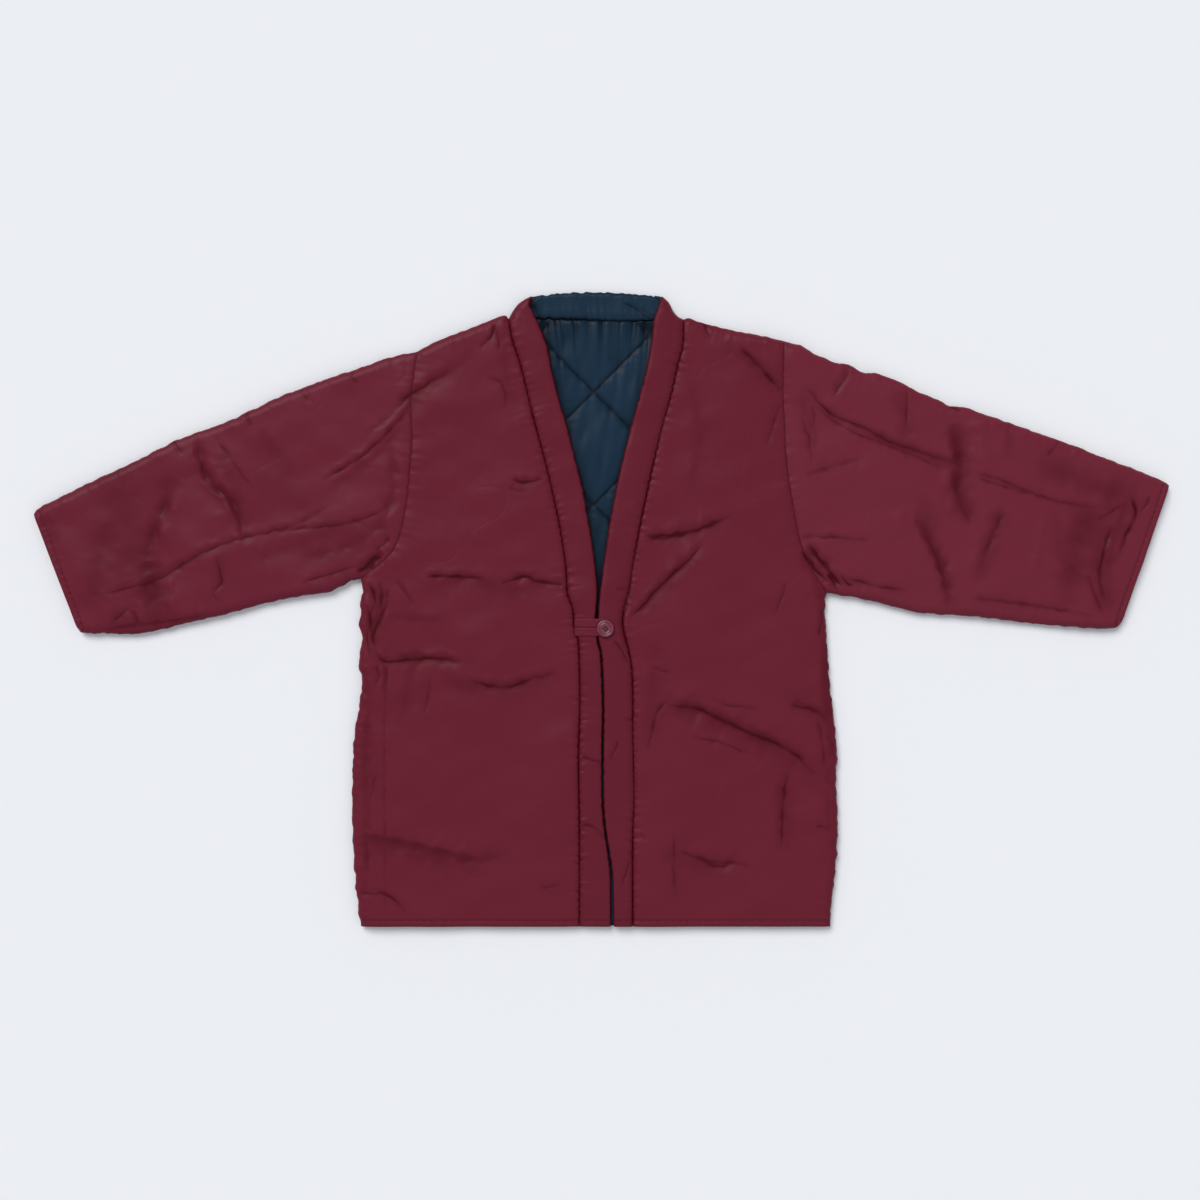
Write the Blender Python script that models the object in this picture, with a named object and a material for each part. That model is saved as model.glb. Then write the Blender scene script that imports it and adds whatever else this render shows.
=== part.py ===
# A padded hanten jacket laid flat on its back, buttoned, sleeves spread.
# X runs across the jacket, Y from hem to collar, and Z up from the surface it lies on.
# Tables and sizes are in millimetres. Right and left are the wearer's: the right side has negative X.

import math

import bmesh
import bpy
import numpy as np

MM = 0.001

# Driving sizes
EDGE_ROLL = 12.0  # how far a rolled edge, such as a side seam, reaches into the plan
MIDDLE = 7.2  # height of the side seams and of the sleeves' folded edges
TOP = 15.0  # height of the upper cloth
SEAM_GAP = 0.3
BACK_THICK = 2.8
FRONT_THICK = 6.0
SLEEVE_THICK = 6.0
BAND_THICK = 6.0
NECK_FACING_THICK = 3.0
INNER_LOWEST = 0.2  # the upper cloth's inner face stays this far above the middle
HEM_Y = -405.0

# Quilting of the lining: two sets of lines at 45 degrees, crossing at QUILT_ORIGIN
QUILT_DIAGONAL = 144.0
QUILT_ORIGIN = (-10.0, 278.0)
QUILT_CUTS = (0.0, 0.13, 0.5, 0.87)  # where a diamond is divided, as shares of its side
LINING_BASE = 3.3
LINING_STITCHED = 1.9  # thickness along the stitching
QUILT_RISE = 2.0
LINING_INSET = 10.0  # from the rolled edges
LINING_SEAM_INSET = 3.0  # from the armhole seams
LINING_HEM_INSET = 3.5

# Button and its loop of tape
BUTTON_AT = (4.8, -24.0)
BUTTON_RADIUS = 11.0
BUTTON_BASE = 19.4
BUTTON_THICK = 3.0
BUTTON_DISH = 1.0
HOLE_RADIUS = 1.0
HOLE_RING = 2.7
THREAD_RADIUS = 0.45
STEM_RADIUS = 1.5
LOOP_AXIS_Y = -22.6
LOOP_TURN_X = 4.0
LOOP_ROOT_X = -34.0
LOOP_STRAIGHT_STOP = 3.0  # the straight tapes end this far before the turn's middle
LOOP_TAPE = 11.0
LOOP_EYE_RADIUS = 3.8
LOOP_THICK = 1.4
LOOP_CLEAR = 0.75

# Seams and edges of the plan, each a smooth line through these points: x, y
SHOULDER_RIGHT = ((-118.4, 370.6), (-124, 374.5), (-146, 367.5), (-170, 358), (-204, 344), (-235, 329))
SLEEVE_TOP_RIGHT = (
    (-235, 329), (-274, 320.5), (-310, 307.5), (-372, 286), (-411, 271.5), (-450, 252.5), (-483, 237.5),
    (-542, 216), (-568, 203), (-614, 180), (-660, 159), (-702, 137.5), (-718, 129.5), (-723.9, 122.5),
)
SLEEVE_UNDER_RIGHT = (
    (-306.5, 39.5), (-323, 36), (-346, 24.5), (-385, 17), (-418, 10.5), (-467, -3), (-516, -14), (-561, -26),
    (-598, -31.5), (-633, -31), (-661, -30.5), (-668, -24.5),
)
ARMHOLE_RIGHT = (
    (-235, 329), (-242.5, 265), (-242, 213), (-244.5, 174), (-248, 138), (-257, 98), (-270, 73),
    (-286, 55.5),
    (-306.5, 39.5),
)
SIDE_RIGHT = (
    (-306.5, 39.5), (-306, 20), (-308.5, -20), (-305.5, -39), (-310, -70), (-305.5, -89), (-310, -129),
    (-314.5, -154), (-317, -190), (-318, -235), (-317.5, -278), (-315, -340), (-310, -383), (-306.5, HEM_Y),
)
NECK_SEAM_RIGHT = (
    (-118.4, 370.6), (-113.5, 343), (-104, 314), (-95, 278), (-87.5, 247), (-78, 211), (-69.5, 180),
    (-57, 115), (-46, 60), (-45, 43),
)
BAND_SEAM_RIGHT = (
    (-45, 43), (-43, 20), (-37, 1), (-33.5, -26), (-29.5, -42), (-28, -70), (-27.5, -123), (-29, -191),
    (-28.5, -275), (-28.5, HEM_Y),
)
BAND_FOLD_RIGHT = ((-118.4, 370.6), (-113.5, 380), (-106.5, 389.5), (-98, 395), (-90, 399.5))
BAND_EDGE_TOP_RIGHT = (
    (-90, 399.5), (-92, 385), (-83, 370), (-70, 337), (-63, 304), (-53, 264.5), (-45, 238.5), (-33.5, 193),
    (-20, 120), (-10, 63), (-6.5, 43),
)
BAND_EDGE_RIGHT = (
    (-6.5, 43), (-4.0, 20), (-6.5, -11), (-5, -39), (-1, -61), (1.2, -123), (0.4, -172), (0.4, -240),
    (3.6, -278), (8.5, -309), (12.2, -340), (13, HEM_Y),
)

SHOULDER_LEFT = ((104.8, 370), (112, 371.5), (128, 366), (160, 358), (199, 350.5), (232.4, 342.5))
SLEEVE_TOP_LEFT = (
    (232.4, 342.5), (254.5, 336), (274, 325.5), (300, 315), (313, 313), (331, 303.5), (352, 301), (379, 291),
    (405, 277), (424, 270), (440, 260.5), (463, 258.5), (490, 248.5), (532, 234), (581, 216.5), (633, 196.5),
    (685, 177), (716, 164), (723.9, 158.5),
)
SLEEVE_UNDER_LEFT = (
    (287.5, 21), (313, 17), (339, 12), (372, 4), (411, -4.5), (457, -8), (506, -12.5), (555, -18.5),
    (601, -22.5), (634, -24.5), (656, -23), (662.5, -17.5),
)
ARMHOLE_LEFT = (
    (232.4, 342.5), (231, 278), (235, 193), (241.5, 144), (251, 96), (258, 69), (270.5, 46), (287.5, 21),
)
SIDE_LEFT = (
    (287.5, 21), (285, 4), (286.5, -30), (289.5, -76), (296, -135), (300.5, -185), (299, -216), (301, -262),
    (300.5, -303), (297.5, -340), (292.5, -380), (292, HEM_Y),
)
NECK_SEAM_LEFT = (
    (104.8, 370), (103.5, 337), (97, 310.5), (87, 268), (77.5, 233.5), (71, 206), (64.5, 178.5), (51, 112),
    (40, 57), (37, 40),
)
BAND_SEAM_LEFT = (
    (37, 40), (35, 26), (29, 1), (27, -20), (34, -48), (38.5, -73), (40, -110), (40, -154), (41.5, -240),
    (40, -287), (40, HEM_Y),
)
BAND_FOLD_LEFT = ((104.8, 370), (99, 374.5), (92.5, 380.5), (86.5, 391), (77.5, 399.5))
BAND_EDGE_TOP_LEFT = (
    (77.5, 399.5), (73, 386), (66, 367.5), (64.5, 350), (58, 310.5), (49.5, 278), (36.5, 230.5),
    (23.5, 178.5), (13, 115), (4, 63), (1, 43),
)
BAND_EDGE_LEFT = (
    (1, 43), (-1.8, 20), (-2.8, -11), (-3.2, -39), (0.6, -61), (2.8, -123), (2.2, -172), (2.2, -240),
    (5.4, -278), (10, -309), (13.8, -340), (14.6, HEM_Y),
)

NECK_SEAM_BACK = (
    (-118.4, 370.6), (-100, 371.5), (-76, 372), (-32, 371), (-7.5, 369.5), (25, 368.5), (50, 369), (80, 370),
    (104.8, 370),
)
COLLAR_TOP = ((-90, 399.5), (-68, 402), (-45, 404.3), (-2, 405), (36.5, 403.2), (60, 401), (77.5, 399.5))

# Large folds of the upper cloth. Each is a soft line from one end to the other by way of a middle point.
# x0, y0, x1, y1, x2, y2: ends and middle; width: half its breadth; height: below zero is a trough
FOLDS = (
    (-156, 325, -243, 250, -353, 166, 13, -3.0),
    (-650, 12, -497, 74, -339, 138, 14, -2.6),
    (-548, 200, -552, 138, -582, 58, 20, -2.6),
    (-483, 190, -466, 130, -456, 92, 16, -2.2),
    (-492, 60, -490, 40, -488, 18, 14, -2.0),
    (-268, 4, -290, -34, -268, -66, 10, -2.4),
    (-276, -64, -220, -63, -150, -68, 10, -2.2),
    (-220, 42, -160, 40, -62, 34, 10, -2.0),
    (-310, -288, -212, -306, -120, -308, 18, -2.6),
    (-160, -88, -110, -98, -56, -82, 14, -1.6),
    (260, 282, 380, 208, 620, 130, 12, -2.2),
    (416, 124, 426, 66, 438, 8, 15, -2.6),
    (454, 190, 462, 160, 470, 118, 14, -2.4),
    (676, 144, 640, 66, 640, 12, 15, -4.0),
    (500, 112, 492, 70, 490, 40, 16, -1.8),
    (256, 92, 300, 90, 355, 88, 9, -1.6),
    (40, -6, 78, 34, 152, 130, 11, -2.8),
    (80, -120, 170, -150, 258, -202, 18, -2.8),
    (232, -200, 226, -248, 230, -300, 12, -2.4),
    (92, -282, 110, -318, 150, -322, 14, -1.8),
    (178, 334, 208, 300, 234, 268, 11, -2.4),
    (-200, 180, -150, 120, -110, 40, 40, 1.6),
    (120, 60, 160, -40, 190, -120, 44, 1.6),
    (-180, -180, -160, -230, -150, -290, 44, 1.4),
)
SEAM_DIP = 2.4  # how far the upper cloth sinks at a seam
SEAM_DIP_WIDTH = 7.0
OPEN_EDGE_DROP = 1.8  # how much thinner the cloth is at hem and cuffs
OPEN_EDGE_WIDTH = 5.0

# How high the collar band stands across its width: share from seam to free edge, rise
BAND_CROWN = ((0.0, 0.0), (0.12, 0.9), (0.35, 1.5), (0.68, 1.5), (0.88, 0.8), (0.97, -0.7), (1.0, -2.0))

# Where the panels are divided, as shares of their edges
ARMHOLE_SHARES = (0, 0.008, 0.024, 0.05, 0.11, 0.2, 0.31, 0.44, 0.57, 0.7, 0.82, 0.91, 0.96, 1)
SIDE_SHARES = tuple(i / 14 * 0.98 for i in range(1, 15)) + (0.993, 1)
BACK_SIDE_SHARES = (0.03, 0.12, 0.27, 0.45, 0.62, 0.8, 0.98, 1)
FRONT_SHARES = (0, 0.007, 0.02, 0.045, 0.11, 0.2, 0.31, 0.43, 0.55, 0.67, 0.79, 0.9, 0.97, 1)
SLEEVE_SHARES = (0, 0.03, 0.08, 0.15, 0.23, 0.31, 0.39, 0.47, 0.55, 0.63, 0.71, 0.79, 0.87, 0.94, 0.985, 1)
SHOULDER_COLUMNS = (0, 0.012, 0.036, 0.075, 0.12, 0.3, 0.62, 1)
NECK_SHARES = (0, 0.01, 0.03, 0.058, 0.25, 0.5, 0.75, 0.942, 0.97, 0.99, 1)
COLLAR_DEPTH_SHARES = (0, 0.2, 0.8, 1)

MAROON = (0.135, 0.018, 0.032)
NAVY = (0.017, 0.036, 0.062)
BUTTON_COLOUR = (0.23, 0.07, 0.115)
THREAD_COLOUR = (0.10, 0.012, 0.024)


# Lines in plan

def smooth_line(points, steps=8):
    """A Catmull-Rom line through the points."""
    given = np.array(points, float)
    padded = np.vstack([2 * given[0] - given[1], given, 2 * given[-1] - given[-2]])
    line = []
    for before, start, end, after in zip(padded, padded[1:], padded[2:], padded[3:]):
        for step in range(steps):
            t = step / steps
            line.append(
                0.5 * (2 * start + (end - before) * t + (2 * before - 5 * start + 4 * end - after) * t**2
                       + (3 * start - before - 3 * end + after) * t**3)
            )
    line.append(given[-1])
    return np.array(line)


def lengths_along(line):
    return np.concatenate([[0], np.cumsum(np.linalg.norm(np.diff(line, axis=0), axis=1))])


def at_shares(line, shares):
    """Points of a line at these shares of its length."""
    along = lengths_along(line)
    return np.stack([np.interp(shares, along / along[-1], line[:, axis]) for axis in (0, 1)], axis=1)


def joined(*lines):
    """Lines that follow each other, their shared ends kept once."""
    return np.vstack([lines[0]] + [line[1:] for line in lines[1:]])


def unit(vectors):
    return vectors / np.linalg.norm(vectors, axis=-1, keepdims=True)


def left_normals(points):
    """The unit direction to the left of the line at each of its points."""
    ahead = unit(np.gradient(points, axis=0))
    return np.stack([-ahead[:, 1], ahead[:, 0]], axis=1)


def slid(line, amounts):
    """Points moved along their own line, each away from the line's nearer end."""
    along = lengths_along(line)
    moved = along + amounts * np.where(along < along[-1] / 2, 1, -1)
    return np.stack([np.interp(moved, along, line[:, axis]) for axis in (0, 1)], axis=1)


def nearest(points, segments):
    """Each point's distance to a set of segments, and the way into the cloth from the nearest one."""
    flat = points.reshape(-1, 2)
    start, end = segments
    run = end - start
    share = ((flat[:, None] - start) * run).sum(2) / (run * run).sum(1)
    foot = start + np.clip(share, 0, 1)[..., None] * run
    gap = np.linalg.norm(flat[:, None] - foot, axis=2)
    pick = gap.argmin(axis=1)
    rows = np.arange(len(flat))
    distance = gap[rows, pick]
    side = np.stack([-run[pick, 1], run[pick, 0]], axis=1)
    side /= np.linalg.norm(side, axis=1)[:, None]
    away = flat - foot[rows, pick]
    far = distance > 1.0
    inward = np.where(far[:, None], away / np.maximum(distance, 1e-9)[:, None], side)
    return distance.reshape(points.shape[:-1]), inward.reshape(points.shape)


def segments_of(*lines):
    return np.vstack([line[:-1] for line in lines]), np.vstack([line[1:] for line in lines])


def mirrored_order(line):
    return line[::-1]


LINES = {
    name: smooth_line(table)
    for name, table in {
        "shoulder_right": SHOULDER_RIGHT, "shoulder_left": SHOULDER_LEFT,
        "sleeve_top_right": SLEEVE_TOP_RIGHT, "sleeve_top_left": SLEEVE_TOP_LEFT,
        "sleeve_under_right": SLEEVE_UNDER_RIGHT, "sleeve_under_left": SLEEVE_UNDER_LEFT,
        "armhole_right": ARMHOLE_RIGHT, "armhole_left": ARMHOLE_LEFT,
        "side_right": SIDE_RIGHT, "side_left": SIDE_LEFT,
        "neck_seam_right": NECK_SEAM_RIGHT, "neck_seam_left": NECK_SEAM_LEFT,
        "band_seam_right": BAND_SEAM_RIGHT, "band_seam_left": BAND_SEAM_LEFT,
        "band_fold_right": BAND_FOLD_RIGHT, "band_fold_left": BAND_FOLD_LEFT,
        "band_edge_top_right": BAND_EDGE_TOP_RIGHT, "band_edge_top_left": BAND_EDGE_TOP_LEFT,
        "band_edge_right": BAND_EDGE_RIGHT, "band_edge_left": BAND_EDGE_LEFT,
        "neck_seam_back": NECK_SEAM_BACK, "collar_top": COLLAR_TOP,
    }.items()
}

# Edges where upper and under cloth are one, in the order that keeps the cloth on the left
CLOSED_EDGES = segments_of(
    LINES["side_right"], mirrored_order(LINES["side_left"]),
    mirrored_order(LINES["sleeve_under_right"]), LINES["sleeve_under_left"],
    LINES["sleeve_top_right"], mirrored_order(LINES["sleeve_top_left"]),
    LINES["shoulder_right"], mirrored_order(LINES["shoulder_left"]),
    mirrored_order(LINES["band_fold_right"]), LINES["band_fold_left"],
)
UPPER_SEAMS = segments_of(
    *(LINES[name + side] for side in ("right", "left") for name in ("armhole_", "neck_seam_", "band_seam_"))
)
OPEN_EDGES = segments_of(
    np.array([SIDE_RIGHT[-1], SIDE_LEFT[-1]], float),
    np.array([SLEEVE_TOP_RIGHT[-1], SLEEVE_UNDER_RIGHT[-1]], float),
    np.array([SLEEVE_TOP_LEFT[-1], SLEEVE_UNDER_LEFT[-1]], float),
)


# Surfaces

def fold_relief(points):
    """How far the folds raise or sink the upper cloth at each point."""
    relief = np.zeros(points.shape[:-1])
    for x0, y0, x1, y1, x2, y2, width, height in FOLDS:
        crease = smooth_line(((x0, y0), (x1, y1), (x2, y2)), steps=4)
        start, end = segments_of(crease)
        run = end - start
        reach = lengths_along(crease)
        share = np.clip(((points[..., None, :] - start) * run).sum(-1) / (run * run).sum(1), 0, 1)
        gap = np.linalg.norm(points[..., None, :] - (start + share[..., None] * run), axis=-1)
        pick = gap.argmin(axis=-1)
        distance = np.take_along_axis(gap, pick[..., None], -1)[..., 0]
        part = np.take_along_axis(share, pick[..., None], -1)[..., 0]
        along = (reach[pick] + part * np.diff(reach)[pick]) / reach[-1]
        taper = np.sin(math.pi * (0.08 + 0.84 * along)) ** 0.7
        relief += height * np.exp(-((distance / width) ** 2)) * taper
    return relief


def upper_relief(points):
    """Folds, the dips at seams and the thinner cloth at hem and cuffs."""
    seam, _ = nearest(points, UPPER_SEAMS)
    opening, _ = nearest(points, OPEN_EDGES)
    return (
        fold_relief(points)
        - SEAM_DIP * np.exp(-((seam / SEAM_DIP_WIDTH) ** 2))
        - OPEN_EDGE_DROP * np.exp(-((opening / OPEN_EDGE_WIDTH) ** 2))
    )


def cloth_layer(points, depth, upper, split=True, crown=0.0, seams=()):
    """The upper or under cloth's surface over plan points, or the surface at a depth inside it.
    Towards a closed edge it rolls over to the middle height, where upper and under cloth meet.
    Each of the seams is an index of the grid: points there stay on the seam."""
    distance, inward = nearest(points, CLOSED_EDGES)
    lean = np.clip(1 - distance / EDGE_ROLL, 0, 1)
    rise = np.sqrt(1 - lean**2)
    plan = points + inward * (depth * lean)[..., None]
    for part in seams:
        plan[part] = slid(points[part], depth * lean[part])
    half_gap = SEAM_GAP / 2 if split else 0.0
    if upper:
        height = MIDDLE + half_gap + (TOP - MIDDLE - depth + upper_relief(points) + crown) * rise
        if depth > 0:
            height = np.maximum(height, MIDDLE + half_gap + INNER_LOWEST * rise)
    else:
        height = MIDDLE - half_gap - (MIDDLE - half_gap - depth) * rise
    return np.concatenate([plan, height[..., None]], axis=-1)


def patch(left, right, top, bottom):
    """Plan points of a panel between four edges: one row for each point of left and right."""
    across, down = lengths_along(top), lengths_along(left)
    u, v = (across / across[-1])[None, :, None], (down / down[-1])[:, None, None]
    sides = left[:, None] * (1 - u) + right[:, None] * u
    ends = top[None] * (1 - v) + bottom[None] * v
    corners = (
        left[0] * (1 - u) * (1 - v) + right[0] * u * (1 - v) + left[-1] * (1 - u) * v + right[-1] * u * v
    )
    return sides + ends - corners


# Solids

collection = bpy.data.collections.new("hanten_jacket")


def material(name, colour, roughness):
    made = bpy.data.materials.new(name)
    made.use_nodes = True
    shader = made.node_tree.nodes["Principled BSDF"]
    shader.inputs["Base Color"].default_value = (*colour, 1)
    shader.inputs["Roughness"].default_value = roughness
    shader.inputs["Metallic"].default_value = 0.0
    return made


def new_object(name, mesh, finish):
    thing = bpy.data.objects.new(name, mesh)
    mesh.materials.append(finish)
    mesh.shade_smooth()
    mesh.set_sharp_from_angle(angle=math.radians(50))
    collection.objects.link(thing)
    return thing


def mesh_of(shape, name):
    bmesh.ops.recalc_face_normals(shape, faces=shape.faces)
    mesh = bpy.data.meshes.new(name)
    shape.to_mesh(mesh)
    shape.free()
    return mesh


def loft(shape, rows, ring):
    """Triangles between the rows of a grid of vertices, each row closed on itself if ring is true.
    Layers that lie on each other are divided along the same diagonals, so they keep their gap."""
    for upper_row, lower_row in zip(rows, rows[1:]):
        count = len(upper_row)
        for i in range(count if ring else count - 1):
            j = (i + 1) % count
            shape.faces.new((upper_row[i], upper_row[j], lower_row[j]))
            shape.faces.new((upper_row[i], lower_row[j], lower_row[i]))


def wall(name, outside, inside, finish, ring=False):
    """A closed wall of cloth between two grids of points with the same rows and columns."""
    shape = bmesh.new()
    skins = [
        [[shape.verts.new(point * MM) for point in row] for row in grid] for grid in (outside, inside)
    ]
    for skin in skins:
        loft(shape, skin, ring)
    loft(shape, [skins[0][0], skins[1][0]], ring)
    loft(shape, [skins[0][-1], skins[1][-1]], ring)
    if not ring:
        for column in (0, -1):
            loft(shape, [[row[column] for row in skin] for skin in skins], False)
    return new_object(name, mesh_of(shape, name), finish)


# Shared seam points, so that panels on both sides of a seam follow the same line

def seam_points(side):
    """The points down one side of the jacket that fronts, bands, back and sleeve share."""
    armhole = at_shares(LINES["armhole_" + side], ARMHOLE_SHARES)
    down_side = at_shares(LINES["side_" + side], (0,) + SIDE_SHARES)
    back_side = at_shares(LINES["side_" + side], (0,) + BACK_SIDE_SHARES)
    neck = at_shares(LINES["neck_seam_" + side], ARMHOLE_SHARES)
    band = at_shares(LINES["band_seam_" + side], (0,) + SIDE_SHARES)
    edge_top = at_shares(LINES["band_edge_top_" + side], ARMHOLE_SHARES)
    edge = at_shares(LINES["band_edge_" + side], (0,) + SIDE_SHARES)
    return {
        "armhole": armhole,
        "outer": joined(armhole, down_side),
        "back": joined(armhole, back_side),
        "seam": joined(neck, band),
        "edge": joined(edge_top, edge),
    }


SEAMS = {side: seam_points(side) for side in ("right", "left")}


def straight(start, end, shares):
    return np.outer(1 - np.array(shares), start) + np.outer(shares, end)


def front(side, finish):
    """A front, from the side seam and armhole to the collar band's seam."""
    seams = SEAMS[side]
    turn = 1 if side == "right" else -1
    top = at_shares(mirrored_order(LINES["shoulder_" + side]), FRONT_SHARES)
    plan = patch(
        seams["outer"], seams["seam"], top, straight(seams["outer"][-1], seams["seam"][-1], FRONT_SHARES)
    )
    armhole = np.s_[:len(seams["armhole"]), 0]
    collar = np.s_[:, -1]
    skins = []
    for depth in (0.0, FRONT_THICK):
        grid = cloth_layer(plan, depth, upper=True, seams=(armhole, collar))
        grid[armhole][:, :2] += left_normals(seams["armhole"]) * turn * SEAM_GAP / 2
        grid[collar][:, :2] -= left_normals(seams["seam"]) * turn * SEAM_GAP / 2
        skins.append(grid)
    return wall("front_" + side, *skins, finish)


def band_crown(shares):
    return np.interp(shares, *zip(*BAND_CROWN))


def band(side, finish):
    """The collar band down one front."""
    seams = SEAMS[side]
    turn = 1 if side == "right" else -1
    shares = [share for share, _ in BAND_CROWN]
    fold = at_shares(LINES["band_fold_" + side], shares)
    plan = patch(seams["seam"], seams["edge"], fold, straight(seams["seam"][-1], seams["edge"][-1], shares))

    skins = []
    for depth, crown in ((0.0, band_crown(shares)), (BAND_THICK, 0.0)):
        grid = cloth_layer(plan, depth, upper=True, crown=crown, seams=(np.s_[:, 0],))
        grid[:, 0, :2] += left_normals(seams["seam"]) * turn * SEAM_GAP / 2
        skins.append(grid)
    return wall("collar_band_" + side, *skins, finish)


def back(finish):
    """The back, under everything, with its rolled edges up to the side seams and shoulders."""
    right, left = SEAMS["right"], SEAMS["left"]
    shoulders = [
        at_shares(mirrored_order(LINES["shoulder_" + side]), SHOULDER_COLUMNS) for side in ("right", "left")
    ]
    neck = at_shares(LINES["neck_seam_back"], NECK_SHARES)
    top = joined(shoulders[0], neck, shoulders[1][::-1])
    below = np.vstack([right["back"][-1], left["back"][-1]])
    shares = lengths_along(top)
    shares /= shares[-1]
    plan = patch(right["back"], left["back"], top, straight(below[0], below[1], shares))
    first_neck = len(SHOULDER_COLUMNS) - 1
    last_neck = first_neck + len(NECK_SHARES) - 1
    armholes = len(right["armhole"])
    neckline = np.s_[0, first_neck:last_neck + 1]
    skins = []
    for depth in (0.0, BACK_THICK):
        seams = (np.s_[:armholes, 0], np.s_[:armholes, -1], neckline)
        grid = cloth_layer(plan, depth, upper=False, seams=seams)
        grid[:armholes, 0, :2] += left_normals(right["armhole"]) * SEAM_GAP / 2
        grid[:armholes, -1, :2] -= left_normals(left["armhole"]) * SEAM_GAP / 2
        grid[neckline][:, 1] -= SEAM_GAP / 2
        skins.append(grid)
    return wall("back", *skins, finish)


def sleeve(side, finish):
    """A sleeve, one flattened tube folded along its top, with its seam below."""
    armhole = SEAMS[side]["armhole"]
    turn = 1 if side == "right" else -1
    top = at_shares(LINES["sleeve_top_" + side], SLEEVE_SHARES)
    under = at_shares(LINES["sleeve_under_" + side], SLEEVE_SHARES)
    cuff = straight(top[-1], under[-1], ARMHOLE_SHARES)
    plan = patch(top, under, armhole, cuff)
    skins = []
    for depth in (0.0, SLEEVE_THICK):
        upper = cloth_layer(plan, depth, upper=True, split=False, seams=(0,))
        lower = cloth_layer(plan, depth, upper=False, split=False, seams=(0,))
        for grid in (upper, lower):
            grid[0, :, :2] -= left_normals(armhole) * turn * SEAM_GAP / 2
        skins.append(np.concatenate([upper, lower[:, -2:0:-1]], axis=1))
    return wall("sleeve_" + side, *skins, finish, ring=True)


def collar_back(finish, facing_finish):
    """The collar's stretch behind the neck, lying with its facing up."""
    seam = at_shares(LINES["neck_seam_back"], NECK_SHARES)
    free = at_shares(LINES["collar_top"], NECK_SHARES)
    folds = [at_shares(LINES["band_fold_" + side], COLLAR_DEPTH_SHARES) for side in ("right", "left")]
    plan = patch(seam, free, folds[0], folds[1])

    def skin(depth):
        grid = cloth_layer(plan, depth, upper=False, seams=(np.s_[:, 0],))
        grid[:, 0, 1] += SEAM_GAP / 2
        return grid

    facing = BACK_THICK + 0.5
    wall("collar_back", skin(0), skin(BACK_THICK), finish)
    wall("collar_back_facing", skin(facing), skin(facing + NECK_FACING_THICK), facing_finish)


def quilt_height(x, y):
    """Thickness of the quilted lining: thin along the stitched lines, full between them."""
    side = QUILT_DIAGONAL / math.sqrt(2)
    dx, dy = x - QUILT_ORIGIN[0], y - QUILT_ORIGIN[1]
    hump = 1.0
    for across in ((dx + dy) / math.sqrt(2), (dx - dy) / math.sqrt(2)):
        hump *= abs(math.sin(math.pi * across / side)) ** 0.5
    return LINING_STITCHED + QUILT_RISE * hump


def lining_outline():
    """The lining's edge, a little inside the seams that hold it."""
    def moved(line, amount):
        return line + left_normals(line) * amount

    right, left = SEAMS["right"], SEAMS["left"]
    armholes = len(right["armhole"])
    neck = at_shares(LINES["neck_seam_back"], (0.09, 0.3, 0.5, 0.7, 0.91)) - (0, SEAM_GAP)
    side_right = moved(right["outer"][armholes:], LINING_INSET)[1:]
    side_left = moved(left["outer"][armholes:], -LINING_INSET)[1:]
    armhole_right = moved(right["armhole"], LINING_SEAM_INSET)[4:-2]
    armhole_left = moved(left["armhole"], -LINING_SEAM_INSET)[4:-2]
    side_right[-1][1] = side_left[-1][1] = HEM_Y + LINING_HEM_INSET
    return np.vstack([neck[::-1], armhole_right, side_right[::2], side_left[::-2], armhole_left[::-1]])


def lining(finish):
    """The quilted lining of the back: one flat sheet cut along the quilting, its upper face raised."""
    shape = bmesh.new()
    outline = lining_outline()
    shape.faces.new([shape.verts.new((x * MM, y * MM, LINING_BASE * MM)) for x, y in outline])
    side = QUILT_DIAGONAL / math.sqrt(2)
    reach = range(-8, 9)
    for direction in ((1, 1, 0), (1, -1, 0)):
        for count in reach:
            for cut in QUILT_CUTS:
                along = (count + cut) * side / math.sqrt(2)
                centre = (
                    (QUILT_ORIGIN[0] + along * direction[0]) * MM,
                    (QUILT_ORIGIN[1] + along * direction[1]) * MM,
                    0,
                )
                bmesh.ops.bisect_plane(
                    shape, geom=shape.verts[:] + shape.edges[:] + shape.faces[:], dist=2e-4,
                    plane_co=centre, plane_no=direction,
                )
    lower = shape.faces[:]
    raised = bmesh.ops.extrude_face_region(shape, geom=lower)
    for vert in (item for item in raised["geom"] if isinstance(item, bmesh.types.BMVert)):
        vert.co.z += quilt_height(vert.co.x / MM, vert.co.y / MM) * MM
    base = LINING_BASE * MM
    floor = [face for face in shape.faces if all(abs(vert.co.z - base) < 1e-7 for vert in face.verts)]
    bmesh.ops.dissolve_faces(shape, faces=floor, use_verts=False)
    bmesh.ops.triangulate(shape, faces=shape.faces[:])
    return new_object("back_lining", mesh_of(shape, "back_lining"), finish)


# Button, thread and loop

def remove_from(thing, cutters):
    """Cuts the cutters out of a solid and leaves the cut mesh on it."""
    for cutter in cutters:
        cut = thing.modifiers.new("hole", "BOOLEAN")
        cut.operation = "DIFFERENCE"
        cut.object = cutter
    depsgraph = bpy.context.evaluated_depsgraph_get()
    mesh = bpy.data.meshes.new_from_object(thing.evaluated_get(depsgraph))
    thing.modifiers.clear()
    thing.data = mesh
    for cutter in cutters:
        bpy.data.objects.remove(cutter)


def hole_places():
    turns = [math.radians(angle) for angle in (0, 90, 180, 270)]
    return [
        (BUTTON_AT[0] + HOLE_RING * math.cos(turn), BUTTON_AT[1] + HOLE_RING * math.sin(turn))
        for turn in turns
    ]


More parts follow.
